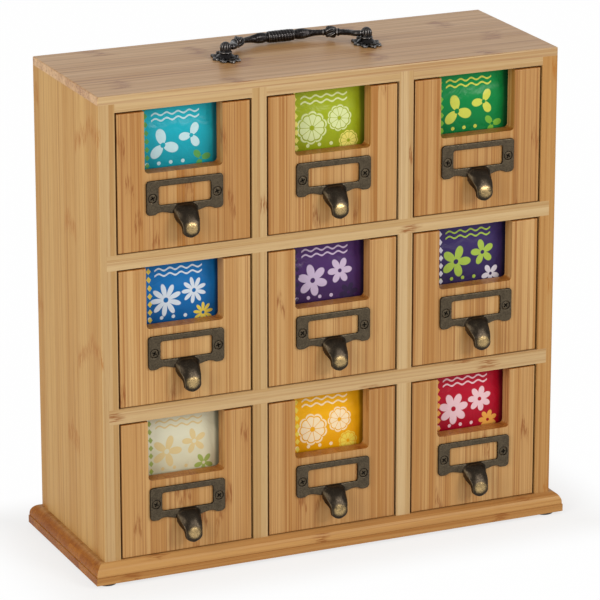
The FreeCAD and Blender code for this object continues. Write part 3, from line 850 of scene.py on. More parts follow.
def screw_heads(name, places, radius, height, dome, facing, seed, finish):
    """Screw heads centred on places, facing along the local Z of a turn, dark inside their recesses."""
    points = bpy.data.meshes.new(name)
    points.from_pydata([tuple(place) for place in places], [], [])
    mesh = grown("Screw heads", points, {
        "Radius": radius, "Height": height, "Dome": dome, "Recess arm": 1.3 * radius,
        "Recess width": 0.36 * radius, "Recess depth": 0.75 * height, "Facing": facing, "Seed": seed,
        "Material": bpy.data.materials[finish]})
    mesh.shade_smooth()
    mesh.set_sharp_from_angle(angle=math.radians(35))
    corners, _, _ = mesh_arrays(mesh)
    offsets = corners[:, None, :] - np.array([tuple(place) for place in places])[None, :, :]
    nearest = offsets[np.arange(len(corners)), np.linalg.norm(offsets, axis=2).argmin(axis=1)]
    local = nearest @ np.array(Euler(facing).to_matrix())
    across = np.hypot(local[:, 0], local[:, 1])
    sunk = (across < 0.7 * radius) & (local[:, 2] < 0.5 * height - 0.6 * dome)
    store(mesh, raised=np.where(sunk, 0.0, 0.5), worn=np.zeros(len(corners)))
    return linked(name, mesh)


# ---------------------------------------------------------------- label pulls
#
# A pull is modelled about the middle of its plate's upper edge, on the drawer's face: X to the
# right, Y to the back and Z up.

def arc_points(x, z, radius, start, end, steps=8):
    """Points on an arc about (x, z), from one angle to another in degrees."""
    return [(x + radius * math.cos(math.radians(angle)), z + radius * math.sin(math.radians(angle)))
            for angle in np.linspace(start, end, steps)]


def plate_outline(size):
    """The plate's outline: two round corners above, a lobe and a wave on each side of the tongue below."""
    half = size.width / 2
    right = arc_points(half - size.corner, -size.corner, size.corner, 90, 0)
    right += arc_points(half - size.lobe, size.lobe - size.height, size.lobe, 0, -90)
    wave_end = half - size.lobe_width
    wave = wave_end - size.tongue_root / 2
    for share in np.linspace(0, 1, 16):
        rise = size.scallop * math.sin(math.pi * share ** 0.75) ** 1.3
        right.append((wave_end - share * wave, rise - size.height))
    return right + [(-x, z) for x, z in reversed(right)]


def window_outline(size):
    """The label window's outline."""
    half, radius = size.window_width / 2, size.window_corner
    top = -size.window_band
    bottom = top - size.window_height
    points = []
    for x, z, start in ((half - radius, top - radius, 90), (half - radius, bottom + radius, 0),
                        (radius - half, bottom + radius, -90), (radius - half, top - radius, 180)):
        points += arc_points(x, z, radius, start, start - 90, 5)
    return points


def plate_mesh(size):
    """The plate with its window and screw seats, its edges rounded by the curve's bevel."""
    edge = 0.3 * size.thickness
    flat = bpy.data.curves.new("plate", "CURVE")
    flat.dimensions = "2D"
    flat.fill_mode = "BOTH"
    flat.extrude = size.thickness / 2 - edge
    flat.bevel_depth = edge
    flat.bevel_resolution = 3
    flat.offset = -edge
    loops = [plate_outline(size), window_outline(size)]
    for side in (-1, 1):
        loops.append(arc_points(side * size.screw_spacing / 2, -size.screw_drop, size.screw_hole,
                                0, 345, 24))
    for loop in loops:
        spline = flat.splines.new("POLY")
        spline.points.add(len(loop) - 1)
        for point, (x, z) in zip(spline.points, loop):
            point.co = (x, z, 0, 1)
        spline.use_cyclic_u = True
    mesh = evaluated_mesh(linked("plate", flat))
    upright = Matrix.Rotation(math.radians(90), 4, "X")
    mesh.transform(Matrix.Translation((0, -size.thickness / 2, 0)) @ upright)
    return mesh


def tongue_mesh(size):
    """The hooked tongue: it swells out below the window, turns down and ends in a round tip."""
    reach, thick = size.tongue_reach, size.tongue_thickness
    root_top = -size.window_band - size.window_height
    tip = -size.height - size.tongue_drop
    fall = root_top - tip
    bury = 0.6 * size.thickness
    # Both curves run from the plate to the tip, as places out from the drawer and down from the root.
    outer = [(bury, 0.01 * fall)] + [(out * reach, down * fall) for out, down in (
        (0.32, 0.07), (0.68, 0.26), (0.92, 0.54), (1.0, 0.80), (0.95, 1.0))]
    inner = [(0.0, 4.2 * MM), (0.46 * reach, 0.38 * fall), (0.88 * reach - thick, 0.58 * fall),
             (reach - thick, 0.80 * fall), (0.95 * reach - 0.8 * thick, fall)]
    steps, across = 40, 15
    front = through_points(outer, steps)
    back = through_points(inner, steps)
    tip_half, root_half = size.tongue_tip / 2, size.tongue_root / 2
    rings = []
    for (out, down), (out_back, down_back) in zip(front, back):
        swell = step_between(down, 0, 0.22 * fall)
        taper = step_between(down, 0.05 * fall, 0.66 * fall)
        half = root_half * (0.80 + 0.20 * swell) * (1 - taper) + tip_half * taper
        into_tip = max(0.0, down - (fall - tip_half)) / tip_half
        half *= math.sqrt(max(0.02, 1 - into_tip ** 2.2))
        sides = np.linspace(-1, 1, across)
        # Near the plate the sides fall back to it, so that the tongue grows out of the plate.
        crown = 0.12 * tip_half + (1 - step_between(down, 0.12 * fall, 0.55 * fall)) * 0.62 * max(out, 0)
        ring = [(side * half, -(out - crown * abs(side) ** 3), root_top - down) for side in sides]
        ring += [(side * half, -(out_back - crown * abs(side) ** 3), root_top - down_back)
                 for side in sides[::-1]]
        rings.append(ring)
    return skin_rings("tongue", rings)


def pull_template(size):
    """One pull without its screws, with its worn and raised places marked, and painted shade and a painted
    highlight on some edges.
    """
    grain_passes, kept_share = 4, 0.4
    body = cast(joined("pull", [plate_mesh(size), tongue_mesh(size)]), size.grain, grain_passes, kept_share)
    places, normals, _ = mesh_arrays(body)
    ahead, out = -normals[:, 1], -places[:, 1]
    thick = size.thickness

    # Fingers rub an oval patch on the front of the tongue, near its tip.
    patch_up, patch_reach, patch_half = 5.6 * MM, 5.4 * MM, 0.62 * size.tongue_tip
    up = places[:, 2] - (-size.height - size.tongue_drop)
    from_patch = np.hypot((up - patch_up) / patch_reach, places[:, 0] / patch_half)
    standing = step_between(out, 0.5 * size.tongue_reach, 0.7 * size.tongue_reach)
    worn = step_between(from_patch, 1.0, 0.25) * step_between(ahead, 0.45, 0.85) * standing

    # The plate's face is even, and its edges near the wood are darkened, a painted shade where the plate
    # meets the drawer front. The tongue is dark, and its long edges are lighter: partly wear, partly a
    # painted highlight.
    flat = step_between(ahead, 0.72, 0.90) * step_between(out, 2.2 * thick, 1.2 * thick)
    bend = 0.5 + (raised(body, 0.35 * MM) - 0.5) * (1 - flat) * 0.7
    above_plate = step_between(out, 1.2 * thick, 2.4 * thick)
    # Painted shade: the plate's side walls and bevel near the wood are marked as hollows, so their patina
    # goes dark.
    painted_shade_rim = step_between(ahead, 0.98, 0.70) * step_between(out, 1.8 * thick, 1.1 * thick)
    # Painted highlight, partly wear: the tongue's long side edges are pushed towards bare metal.
    edges = step_between(np.abs(normals[:, 0]), 0.60, 0.85) * step_between(ahead, 0.1, 0.4)
    bend = np.clip(bend + (0.34 * edges - 0.24) * above_plate - 0.5 * painted_shade_rim, 0, 1)
    store(body, worn=worn, raised=bend)
    return body


class TEACHEST_OT_pulls(bpy.types.Operator):
    """Cast the nine label pulls and drive their screws"""

    bl_idname = "tea_chest.pulls"
    bl_label = "Label pulls"

    def execute(self, context):
        size = context.scene.tea_chest_pull
        template = pull_template(size)
        template.materials.clear()
        template.materials.append(bpy.data.materials["aged_bronze"])
        screw_heads_group()
        head_radius, head_height, dome, bury = 2.3 * MM, 0.9 * MM, 0.2 * MM, 0.25 * MM
        facing = Matrix.Rotation(math.radians(90), 4, "X").to_euler()
        for number in DRAWERS:
            node = f"drawer_{number}_pull"
            low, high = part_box(node)
            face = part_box(f"drawer_{number}_front")[0].y
            place = Vector(((low.x + high.x) / 2, face, high.z))
            pull = place_mesh(template, f"pull_{number}", place)
            sunk = face - size.thickness + bury + head_height / 2
            heads = [(place.x + side * size.screw_spacing / 2, sunk, high.z - size.screw_drop)
                     for side in (-1, 1)]
            screws = screw_heads(f"pull_screws_{number}", heads, head_radius, head_height, dome,
                                 facing, number, "aged_bronze")
            for piece, finish in ((pull, "antique_bronze"), (screws, "screw_steel")):
                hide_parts(node)
                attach(piece, f"drawer_{number}")
        return {"FINISHED"}


# ---------------------------------------------------------------- sachets

def sachet_print_group():
    """A printed foil: a soft gradient, three petalled motifs, two wavy lines and a chain of lozenges, with
    a painted shadow at the foot and on the right.
    """
    graph, given = shader_group("Sachet print", {
        "Width": 0.066, "Height": 0.074, "Petals": 5.0, "Core": 0.3, "Roundness": 1.0, "Turn": 0.0,
        "Spokes": 0.0, "Ground": (0.2, 0.4, 0.6), "Deep": (0.1, 0.2, 0.4), "Motif": (0.9, 0.9, 0.9),
        "Accent": (0.6, 0.8, 0.1)}, outputs=("Color", "Roughness"))
    maths, ramp = graph.maths, graph.ramp
    across, up, _ = graph.split(graph.out("ShaderNodeUVMap", uv_map="print"))
    x = (across - 0.5) * given["Width"]
    z = up * given["Height"]

    def motif(place_x, place_z, reach, turn):
        """Petals round a centre, with a hole and optional spokes; 1 inside."""
        dx, dz = x - place_x, z - place_z
        out = maths("SQRT", dx * dx + dz * dz)
        angle = maths("ARCTAN2", dz, dx) + (given["Turn"] + turn)
        petal = abs(maths("COSINE", angle * given["Petals"] * 0.5))
        edge = given["Core"] + petal ** given["Roundness"] * (1.0 - given["Core"])
        share = out / (edge * reach)
        hole = ramp(out / reach, 0.14, 0.18)
        spoke = ramp(petal * (out / reach), 0.05, 0.10)
        rind = ramp(share, 0.80, 0.82) * ramp(share, 0.90, 0.88)
        cut = given["Spokes"] * (spoke * (1.0 - rind) - 1.0) + 1.0
        return ramp(share, 1.04, 0.96) * hole * cut

    # The large motifs and the wavy lines above them.
    figures = graph.largest(motif(-0.0085, 0.0520, 0.0098, 0.3), motif(0.0092, 0.0560, 0.0078, 1.0))
    ripple = maths("SINE", x * 900.0) * 0.0007
    lines = graph.largest(*(ramp(abs(z - height - ripple), 0.00062, 0.00042)
                            for height in (0.0668, 0.0700)))
    lines = lines * ramp(abs(x), 0.0150, 0.0145)

    # The row of dots below them.
    step = (maths("FRACT", x / 0.0075) - 0.5) / 0.15
    off_row = (z - 0.0416) / 0.0011
    dots = ramp(step ** 2.0 + off_row * off_row, 1.15, 0.85) * ramp(x, 0.010, 0.008)

    # The chain of lozenges on the left and the small motif on the right.
    link = maths("FRACT", z / 0.0048) - 0.5
    chain = ramp(abs(x + 0.0185) / 0.0015 + abs(link) / 0.40, 1.08, 0.92)
    small = motif(0.0150, 0.0420, 0.0062, 1.9)

    # The ground darkens downwards in soft clouds. A painted shadow darkens the foot and the right side,
    # where the drawer front's notch shades the sachet.
    cloud = graph.noise(graph.vector(x, 0.0, z), 42.0, 1.0) - 0.5
    shade = maths("ADD", ramp(z, 0.064, 0.036) * 0.6, cloud * 0.9, clamp=True)
    painted_notch_shadow = graph.largest(ramp(z, 0.0402, 0.0377), ramp(x, 0.0213, 0.0238))
    paint = graph.mix(shade, given["Ground"], given["Deep"])
    paint = graph.mix(graph.largest(figures, lines, dots) * 0.82, paint, given["Motif"])
    paint = graph.mix(graph.largest(chain, small) * 0.88, paint, given["Accent"])
    # Painted shadow: the foot and the right side go towards a near-black deep colour.
    paint = graph.mix(painted_notch_shadow * 0.85, paint, graph.mix(0.7, given["Deep"], (0.01, 0.01, 0.01)))
    graph.add("NodeGroupOutput", {"Color": paint, "Roughness": cloud * 0.2})


# For each drawer: name, ground, deep, motif, accent, petals, core, roundness, spokes.
SACHETS = (
    ("teal", (24, 170, 190), (8, 128, 146), (206, 232, 238), (96, 160, 60), 3, 0.10, 1.6, 0),
    ("lime", (158, 174, 24), (138, 150, 14), (226, 236, 180), (238, 226, 120), 10, 0.86, 0.6, 1),
    ("green", (0, 136, 66), (0, 108, 52), (226, 226, 90), (130, 190, 60), 3, 0.10, 1.6, 0),
    ("blue", (8, 106, 176), (6, 68, 128), (224, 232, 240), (232, 206, 60), 9, 0.26, 0.8, 0),
    ("violet", (72, 40, 98), (50, 28, 66), (214, 196, 224), (46, 34, 66), 6, 0.42, 0.9, 0),
    ("indigo", (56, 42, 96), (38, 28, 62), (176, 206, 72), (222, 220, 232), 5, 0.30, 1.0, 0),
    ("cream", (216, 214, 190), (194, 186, 150), (214, 188, 128), (140, 160, 60), 5, 0.22, 1.2, 0),
    ("yellow", (240, 176, 4), (220, 148, 0), (250, 236, 204), (238, 220, 90), 9, 0.84, 0.6, 1),
    ("red", (178, 4, 40), (150, 0, 30), (244, 214, 222), (236, 176, 80), 7, 0.50, 0.8, 0),
)


def sachet_material(name, ground, deep, motif, accent, petals, core, roundness, spokes):
    """Satin foil with a print."""
    settings = bpy.context.scene.tea_chest_sachet
    made, graph, shader = material("sachet_" + name)
    printed = graph.group("Sachet print", {
        "Petals": petals, "Core": core, "Roundness": roundness, "Spokes": spokes, "Turn": 0.7 * petals,
        "Width": settings.width, "Height": settings.height, "Ground": linear(*ground),
        "Deep": linear(*deep), "Motif": linear(*motif), "Accent": linear(*accent)})
    rough = graph.maths("ADD", printed["Roughness"], settings.gloss, clamp=True)
    dents = graph.noise(graph.place(), 85.0, 2.0, 0.42, 1.2)
    graph.surface(shader, printed["Color"], rough, dents, strength=0.7, distance=1.0 * MM)
    shader.inputs["Specular IOR Level"].default_value = 0.18
    return made


def sachet_mesh(settings):
    """One filled sachet standing on X and Z: crimped seals above and below, a soft pillow between."""
    rows, columns = 56, 40
    half_width, height = settings.width / 2, settings.height
    film, ridge_depth, shoulder = 0.22 * MM, 0.16 * MM, 11 * MM
    vertices, places = [], []
    for front in (-1, 1):
        for row in range(rows + 1):
            up = row / rows
            for column in range(columns + 1):
                across = 2 * column / columns - 1
                z = up * height
                into = min(z, height - z)
                body = float(step_between(into, settings.seal, settings.seal + shoulder))
                side = max(0.0, 1 - abs(across) ** 5) ** 0.5
                fill = (settings.thickness / 2 - film) * body ** 0.8 * side
                sealed = 1 - float(step_between(into, 0.8 * settings.seal, settings.seal))
                ridge = ridge_depth * math.cos(2 * math.pi * z / settings.crimp) * sealed
                waist = 1 - 0.018 * body * math.sin(math.pi * up)
                y = front * (film * (0.3 + 0.7 * side) + fill) + ridge
                vertices.append((across * half_width * waist, y, z))
                places.append((column / columns, up))
    faces = []
    stride = columns + 1
    sheet = (rows + 1) * stride
    for row in range(rows):
        for column in range(columns):
            first = row * stride + column
            quad = (first, first + 1, first + stride + 1, first + stride)
            faces.append(quad)
            faces.append(tuple(sheet + corner for corner in reversed(quad)))
    edge = [row * stride for row in range(rows + 1)]
    edge += [rows * stride + column for column in range(1, columns + 1)]
    edge += [row * stride + columns for row in range(rows - 1, -1, -1)]
    edge += [column for column in range(columns - 1, 0, -1)]
    for here, after in zip(edge, edge[1:] + edge[:1]):
        faces.append((here, after, sheet + after, sheet + here))
    mesh = bpy.data.meshes.new("sachet")
    mesh.from_pydata(vertices, [], faces)
    layer = mesh.uv_layers.new(name="print")
    for loop in mesh.loops:
        layer.data[loop.index].uv = places[loop.vertex_index]
    work = bmesh.new()
    work.from_mesh(mesh)
    bmesh.ops.recalc_face_normals(work, faces=work.faces)
    work.to_mesh(mesh)
    work.free()
    return mesh


def sachet_stack_group():
    """A row of sachets, one behind another, each leaning and creased by chance."""
    graph, given = geometry_group(
        "Packed sachets", True, Int=("Count", "Seed"), Vector=("First",), Material=("Material",),
        Float=("Pitch", "Lean", "Crease", "Height", "Seal"))
    row = graph.out("GeometryNodeMeshLine", "Mesh", {
        "Count": given["Count"], "Start Location": given["First"],
        "Offset": graph.vector(0.0, given["Pitch"], 0.0)}, mode="OFFSET")
    least, most = (graph.out("ShaderNodeVectorMath", 0, {0: turns, "Scale": given["Lean"]},
                             operation="SCALE")
                   for turns in ((-1.0, -1.0, -0.4), (0.2, 1.0, 0.4)))
    lean = graph.out("FunctionNodeRandomValue", 0, {0: least, 1: most, "Seed": given["Seed"]},
                     data_type="FLOAT_VECTOR")
    turn = graph.out("FunctionNodeEulerToRotation", 0, {0: lean})
    packed = graph.instances(row, given["Geometry"], turn)

    # Soft dents and sharper folds along the normal, fading out at the seals.
    place = graph.out("GeometryNodeInputPosition")
    shift = graph.vector(given["Seed"] * 0.37, 0.0, 0.0)
    shifted = graph.out("ShaderNodeVectorMath", 0, {0: place, 1: shift}, operation="ADD")
    dents = graph.noise(shifted, 46.0, 1.0, 0.4) - 0.5
    folds = abs(graph.noise(shifted, 62.0, 1.5, 0.45, 0.8) - 0.5)
    folds = 0.14 - graph.maths("MINIMUM", folds, 0.14)
    up = graph.split(place)[2] - graph.split(given["First"])[2]
    near_seal = graph.maths("MINIMUM", up, given["Height"] - up)
    body = graph.ramp(near_seal, given["Seal"], given["Seal"] * 2.4)
    depth = dents * 2.0 + folds * -3.2
    graph.close(graph.pushed(packed, depth * body * given["Crease"]), given["Material"])


class TEACHEST_OT_sachets(bpy.types.Operator):
    """Fill the nine drawers with packed sachets"""

    bl_idname = "tea_chest.sachets"
    bl_label = "Sachets"

    def execute(self, context):
        settings = context.scene.tea_chest_sachet
        sachet_print_group()
        sachet_stack_group()
        template = sachet_mesh(settings)
        for number, (name, *looks) in zip(DRAWERS, SACHETS):
            node = f"drawer_{number}_sachets"
            low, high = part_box(node)
            pitch = (high.y - low.y - settings.thickness) / (settings.count - 1)
            mesh = grown("Packed sachets", template.copy(), {
                "Count": settings.count, "Pitch": pitch, "Height": settings.height,
                "Seal": settings.seal,
                "First": ((low.x + high.x) / 2, low.y + settings.thickness / 2, low.z),
                "Lean": settings.lean, "Crease": settings.crease, "Seed": number,
                "Material": sachet_material(name, *looks),
            })
            mesh.shade_smooth()
            pack = linked(f"sachets_{number}", mesh)
            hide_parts(node)
            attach(pack, f"drawer_{number}")
        return {"FINISHED"}


# ---------------------------------------------------------------- handle

def foot_mesh(size):
    """A leafy foot in relief, with a flat seat round each screw."""
    rows, columns = 26, 192
    bottom, surface = [], []
    for row in range(rows + 1):
        out = row / rows
        for step in range(columns):
            angle = 2 * math.pi * step / columns
            leaf = 0.5 + 0.5 * math.cos(size.lobes * angle)
            vein = math.cos(3 * size.lobes * angle)
            edge = 1 - 0.24 * (1 - leaf) ** 1.4 + 0.025 * vein
            x = out * edge * size.foot_width / 2 * math.cos(angle)
            y = out * edge * size.foot_length / 2 * math.sin(angle)
            rise = 0.9 * MM + 1.5 * MM * (1 - out ** 2) * (0.4 + 0.6 * leaf)
            rise += 0.45 * MM * vein * out * (1 - out ** 3)
            rise += 0.7 * MM * math.exp(-((out - 0.93) / 0.06) ** 2) * leaf
            from_screw = math.hypot(x, abs(y) - size.screw_offset)
            seat = float(step_between(from_screw, 3.6 * MM, 2.5 * MM))
            rise += (size.foot_thickness - rise) * seat
            bottom.append((x, y, 0.0))
            surface.append((x, y, rise))
    faces = []
    shift = len(surface)
    for row in range(rows):
        for step in range(columns):
            after = (step + 1) % columns
            quad = (row * columns + step, row * columns + after,
                    (row + 1) * columns + after, (row + 1) * columns + step)
            faces.append(quad)
            faces.append(tuple(shift + corner for corner in reversed(quad)))
    for step in range(columns):
        after = (step + 1) % columns
        last = rows * columns
        faces.append((last + step, last + after, shift + last + after, shift + last + step))
    return mesh_from("foot", surface + bottom, faces)


def knuckle_mesh(size, pivot_height):
    """The fluted knuckle on its flared foot, closed by a dome over the pivot."""
    radius = size.knuckle
    profile = [(size.pedestal, 0.0), (size.pedestal, 1.8 * MM), (1.16 * radius, 3.0 * MM),
               (1.02 * radius, 3.6 * MM), (1.14 * radius, 4.1 * MM), (1.12 * radius, 4.5 * MM),
               (0.97 * radius, 4.9 * MM), (radius, pivot_height)]
    for angle in range(10, 90, 10):
        turn = math.radians(angle)
        profile.append((radius * math.cos(turn), pivot_height + radius * math.sin(turn)))
    profile.append((0.06 * radius, pivot_height + radius))
    columns, flutes, flute_depth = 120, 12, 0.09
    rings = []
    for out, up in profile:
        fluted = step_between(up, 4.6 * MM, 5.6 * MM)
        fluted *= step_between(up, pivot_height + 0.98 * radius, pivot_height + 0.6 * radius)
        depth = flute_depth * float(fluted)
        ring = []
        for angle in np.linspace(0, 2 * math.pi, columns, endpoint=False):
            reach = out * (1 + depth * (math.cos(flutes * angle) - 1))
            ring.append((reach * math.cos(angle), reach * math.sin(angle), up))
        rings.append(ring)
    return skin_rings("knuckle", rings)


def post_template(size, pivot_height):
    """One post as a single casting, with its edges marked."""
    cell, smoothing, kept_share = 0.24 * MM, 1, 0.45
    body = cast(joined("post", [foot_mesh(size), knuckle_mesh(size, pivot_height)]), cell, smoothing,
                kept_share)
    store(body, raised=raised(body, 0.55 * MM, 2), worn=np.zeros(len(body.vertices)))
    return body


def bail_group(size):
    """The bail: a bowed line swept with a changing radius, with a knurled grip and leafy collars."""
    graph, given = geometry_group(
        "Cast bail", False, Rotation=("Turn",), Vector=("Pivot",), Material=("Material",),
        Float=("Drop", "Grip length", "Neck end", "Neck bend", "Pin depth", "Knurl", "Leaf"))
    maths = graph.maths
    quarter = math.pi / 2
    bend_radius = given["Neck bend"]

    # Lengths of the line's stretches on each side: half the grip, a quarter ellipse, a bend and a pin.
    grip = given["Grip length"] * 0.5
    arm = size.arm_length
    arm_x = given["Neck end"] - bend_radius - grip
    arm_y = given["Drop"] - bend_radius
    bend = bend_radius * quarter
    bend_from = grip + arm
    total = bend_from + (bend + given["Pin depth"])

    # The line, from pin to pin.
    line = graph.out("GeometryNodeResampleCurve", 0, {
        "Curve": graph.out("GeometryNodeCurvePrimitiveLine"), "Count": 700})
    along = (graph.out("GeometryNodeSplineParameter", "Factor") * 2.0 - 1.0) * total
    out = abs(along)
    arm_turn, bend_turn = (
        maths("MINIMUM", maths("MAXIMUM", turn, 0.0), quarter)
        for turn in ((out - grip) / arm * quarter, (out - bend_from) / bend_radius))
    pin = maths("MAXIMUM", out - bend_from - bend, 0.0)
    x = maths("MINIMUM", out, grip) + maths("SINE", arm_turn) * arm_x
    x = x + (1.0 - maths("COSINE", bend_turn)) * bend_radius + pin
    back = maths("COSINE", arm_turn) * arm_y + (1.0 - maths("SINE", bend_turn)) * bend_radius
    bent = graph.out("GeometryNodeSetPosition", 0, {
        "Geometry": line, "Position": graph.vector(x * maths("SIGN", along), back, 0.0)})

    # The radius at each distance from the middle.
    bail_radii = [
        (0.0, 0.93 * size.grip), (0.0045, 0.93 * size.grip), (0.0080, 0.89 * size.grip),
        (0.0089, size.groove), (0.0094, size.groove), (0.0104, 0.95 * size.swelling),
        (0.0130, size.swelling), (0.0160, 0.88 * size.swelling), (0.0195, 0.68 * size.swelling),
        (0.0230, 1.05 * size.bar), (0.0260, size.bar), (0.0268, 1.2 * size.bar), (0.0275, 1.1 * size.bar),
        (0.0286, 0.85 * size.collar), (0.0312, size.collar), (0.0338, 0.8 * size.collar),
        (0.0350, 1.05 * size.neck), (0.0358, 1.35 * size.neck), (0.0368, size.neck),
        (0.0530, size.neck), (0.0534, size.pin), (0.0588, size.pin),
    ]
    reach = bail_radii[-1][0]
    shares = [(place / reach, radius / size.grip) for place, radius in bail_radii]
    swell = graph.add("ShaderNodeFloatCurve", {"Value": out / total})
    curve = swell.mapping.curves[0]
    for place, radius in shares[1:-1]:
        curve.points.new(place, radius)
    curve.points[0].location = shares[0]
    curve.points[len(shares) - 1].location = shares[-1]
    for point in curve.points:
        point.handle_type = "AUTO_CLAMPED"
    swell.mapping.update()
    radius = Value(graph, swell.outputs[0]) * size.grip

    # The sweep, which keeps each point's distance along the line and angle round it.
    kept = graph.captured(bent, {"Radius": radius, "Out": out, "Along": along})
    ring = graph.out("GeometryNodeCurvePrimitiveCircle", "Curve", {"Resolution": 56, "Radius": 1.0},
                     mode="RADIUS")
    angle = graph.out("GeometryNodeSplineParameter", "Factor") * (2 * math.pi)
    ring = graph.captured(ring, {"Angle": angle})
    sweep = graph.out("GeometryNodeCurveToMesh", 0, {
        "Curve": kept["Geometry"], "Profile Curve": ring["Geometry"], "Scale": kept["Radius"],
        "Fill Caps": True})

    def window(low, high, edge):
        """1 from one distance from the middle to another, and 0 beyond."""
        falling = graph.ramp(kept["Out"], high - edge, high + edge)
        return graph.ramp(kept["Out"], low - edge, low + edge) * (1.0 - falling)

    def wave(turns, per_metre):
        """Waves round the bar and along it."""
        return maths("COSINE", ring["Angle"] * turns + kept["Along"] * per_metre)

    # Relief along the normal: knurls on the grip, leaves on the collars, soft flutes on the swellings.
    knurl = wave(8.0, 1700.0) * wave(10.0, -1700.0) * given["Knurl"] * window(-0.01, 0.0080, 0.0006)
    leaf = (wave(5.0, 700.0) + wave(15.0, 2100.0) * 0.45) * given["Leaf"]
    leaf = leaf * window(0.0286, 0.0342, 0.0010)
    flute = wave(6.0, 250.0) * (given["Leaf"] * 0.25) * window(0.0115, 0.0180, 0.0020)
    rough = (graph.noise(graph.out("GeometryNodeInputPosition"), 520.0) - 0.5) * 0.00034
    rough = rough * window(-0.01, 0.045, 0.003)
    carved = graph.pushed(sweep, (knurl + leaf) + (flute + rough))
    laid = graph.out("GeometryNodeTransform", 0, {
        "Geometry": carved, "Translation": given["Pivot"], "Rotation": given["Turn"]})
    graph.close(laid, given["Material"])


class TEACHEST_OT_handle(bpy.types.Operator):
    """Cast the handle's posts and bail and set their screws"""

    bl_idname = "tea_chest.handle"
    bl_label = "Handle"

    def execute(self, context):
        size = context.scene.tea_chest_handle
        iron = bpy.data.materials["aged_iron"]
        hinge = next(joint for joint in frame["joints"] if joint["name"] == "bail_hinge")
        pivot = Vector(hinge["pos_m"])
        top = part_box("top_panel")[1].z

        post = post_template(size, pivot.z - top)
        post.materials.clear()
        post.materials.append(iron)
        screw_places = []
        for side in ("left", "right"):
            low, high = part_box(f"handle_post_{side}")
            middle = Vector(((low.x + high.x) / 2, pivot.y, top))
            casting = place_mesh(post, f"cast_post_{side}", middle)
            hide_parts(f"handle_post_{side}")
            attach(casting, "chest")
            screw_places += [middle + Vector((0, y, size.foot_thickness + 0.5 * MM))
                             for y in (-size.screw_offset, size.screw_offset)]
        head_radius, head_height, dome = 2.2 * MM, 1.3 * MM, 0.35 * MM
        screws = screw_heads("handle_screw_heads", screw_places, head_radius, head_height, dome,
                             (0, 0, 0), 4, "aged_steel")
        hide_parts("handle_screws")
        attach(screws, "chest")

        rest_gap = 0.3 * MM
        lift = pivot.z - top - size.grip - rest_gap
        bail_group(size)
        mesh = grown("Cast bail", bpy.data.meshes.new("bail"), {
            "Drop": size.drop, "Grip length": size.grip_length, "Neck end": size.neck_end,
            "Neck bend": size.neck_bend, "Pin depth": size.pin_depth, "Knurl": size.knurl,
            "Leaf": size.leaf, "Turn": (-math.asin(lift / size.drop), 0, 0), "Pivot": pivot,
            "Material": iron})
        mesh.shade_smooth()
        store(mesh, raised=raised(mesh, 0.6 * MM, 1), worn=np.zeros(len(mesh.vertices)))
        bail = linked("cast_bail", mesh)
        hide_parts("handle_bail")
        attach(bail, "bail")
        return {"FINISHED"}


# ---------------------------------------------------------------- studio

def soft_lamp(name, place, target, size, power, tint):
    """A square soft lamp that points at a target."""
    data = bpy.data.lights.new(name, "AREA")
    data.shape = "SQUARE"
    data.size = size
    data.energy = power
    data.color = tint
    lamp = linked(name, data)
    lamp.location = place
    lamp.rotation_euler = (target - Vector(place)).to_track_quat("-Z", "Y").to_euler()


def studio_floor():
    """A wide pale floor. It looks white to the camera and to reflections, and keeps the shadow."""
    bpy.ops.mesh.primitive_plane_add(size=6.0, location=(0, 0, cad_low.z))
    floor = bpy.context.object
    floor.name = "studio_floor"
    made, graph, shader = material("studio_floor")
    shader.inputs["Base Color"].default_value = (0.9, 0.9, 0.9, 1.0)
    shader.inputs["Roughness"].default_value = 0.9
    ray = graph.outputs(graph.add("ShaderNodeLightPath"))
    seen = graph.largest(ray["Is Camera Ray"], ray["Is Glossy Ray"], ray["Is Transmission Ray"])

    # The floor's own shading, which holds the shadow, shows most close to the chest.
    near_share, added_away, fade = 0.72, 0.27, 0.05
    x, y, _ = graph.split(graph.place())
    outside = graph.largest(abs(x) - cad_high.x, abs(y) - cad_high.y)
    glow_share = graph.ramp(outside, 0.0, fade) * added_away + near_share
    glow = graph.out("ShaderNodeEmission", 0, {"Strength": 1.0})
    blend = graph.out("ShaderNodeMixShader", 0, {0: seen * glow_share, 1: shader.outputs[0], 2: glow})
    graph.feed(made.node_tree.nodes["Material Output"].inputs["Surface"], blend)
    floor.data.materials.append(made)


def studio_world(strength):
    """White to the camera, nearly so to reflections, and an even light on surfaces."""
    world = bpy.data.worlds.new("studio")
    bpy.context.scene.world = world
    world.use_nodes = True
    graph = Graph(world.node_tree)
    background = world.node_tree.nodes["Background"]
    background.inputs["Color"].default_value = (1.0, 1.0, 1.0, 1.0)
    ray = graph.outputs(graph.add("ShaderNodeLightPath"))
    seen = graph.largest(ray["Is Camera Ray"], ray["Is Transmission Ray"], ray["Is Glossy Ray"] * 0.7)
    graph.feed(background.inputs["Strength"], seen * (1.0 - strength) + strength)


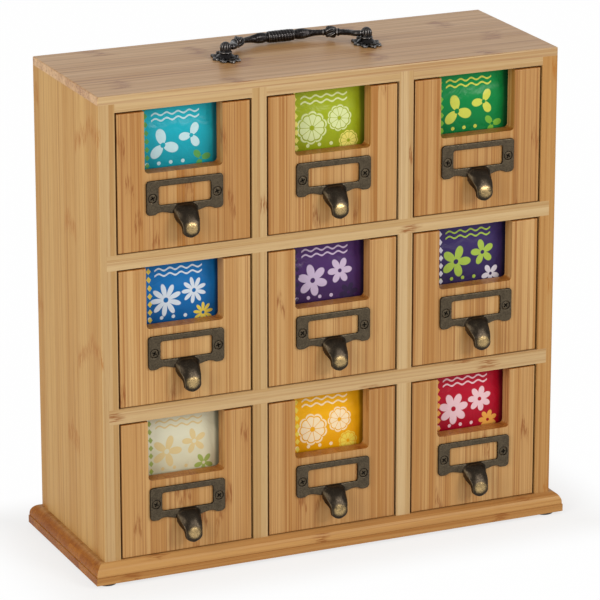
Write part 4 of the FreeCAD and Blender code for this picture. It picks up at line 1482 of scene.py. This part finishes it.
class TEACHEST_OT_studio(bpy.types.Operator):
    """Set up the floor, the soft lamps and the camera"""

    bl_idname = "tea_chest.studio"
    bl_label = "Studio"

    def execute(self, context):
        settings = context.scene.tea_chest_studio
        scene = context.scene
        scene.view_settings.view_transform = "Standard"
        studio_world(settings.ambient)
        studio_floor()
        centre = (cad_low + cad_high) / 2
        soft_lamp("key_lamp", (0.78, -1.42, 0.92), centre, 0.6, settings.key_power, (1.0, 0.985, 0.96))
        soft_lamp("fill_lamp", (-1.35, -0.75, 0.75), centre, 1.0, settings.fill_power, (1.0, 0.94, 0.83))

        # The camera looks at a point of the case's front, a little left of its middle.
        look_x, look_up = -0.02116, 0.1439
        case_low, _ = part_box("side_left")
        target = Vector((look_x, case_low.y, case_low.z + look_up))
        azimuth, elevation = math.radians(settings.azimuth), math.radians(settings.elevation)
        back = Vector((-math.sin(azimuth) * math.cos(elevation),
                       -math.cos(azimuth) * math.cos(elevation), math.sin(elevation)))
        data = bpy.data.cameras.new("camera")
        data.sensor_width = 36.0
        data.lens = data.sensor_width * settings.view_angle
        data.clip_start = 0.05
        data.clip_end = 20.0
        camera = linked("camera", data)
        camera.location = target + back * settings.distance
        camera.rotation_euler = (-back).to_track_quat("-Z", "Y").to_euler()
        scene.camera = camera
        return {"FINISHED"}


# ---------------------------------------------------------------- panel and registration

class TEACHEST_PT_panel(bpy.types.Panel):
    """The chest's pieces, in the order they are made"""

    bl_label = "Tea Chest"
    bl_idname = "TEACHEST_PT_panel"
    bl_space_type = "VIEW_3D"
    bl_region_type = "UI"
    bl_category = "Tea Chest"

    def draw(self, context):
        layout = self.layout
        for operator in OPERATORS:
            layout.operator(operator.bl_idname)


SETTINGS = {
    "tea_chest_bamboo": BambooSettings,
    "tea_chest_metal": MetalSettings,
    "tea_chest_pull": PullSettings,
    "tea_chest_sachet": SachetSettings,
    "tea_chest_handle": HandleSettings,
    "tea_chest_studio": StudioSettings,
}
OPERATORS = (TEACHEST_OT_studio, TEACHEST_OT_bamboo, TEACHEST_OT_feet, TEACHEST_OT_metal, TEACHEST_OT_pulls,
             TEACHEST_OT_sachets, TEACHEST_OT_handle)


def register():
    """Registers the classes and adds the settings to the scene."""
    for group in (*SETTINGS.values(), *OPERATORS, TEACHEST_PT_panel):
        bpy.utils.register_class(group)
    for name, group in SETTINGS.items():
        setattr(bpy.types.Scene, name, PointerProperty(type=group))


def unregister():
    """Removes the settings and the classes."""
    for name in SETTINGS:
        delattr(bpy.types.Scene, name)
    for group in (TEACHEST_PT_panel, *reversed(OPERATORS), *SETTINGS.values()):
        bpy.utils.unregister_class(group)


def main():
    """Makes every piece in order."""
    register()
    for operator in OPERATORS:
        group, action = operator.bl_idname.split(".")
        getattr(getattr(bpy.ops, group), action)()


if __name__ == "__main__":
    main()
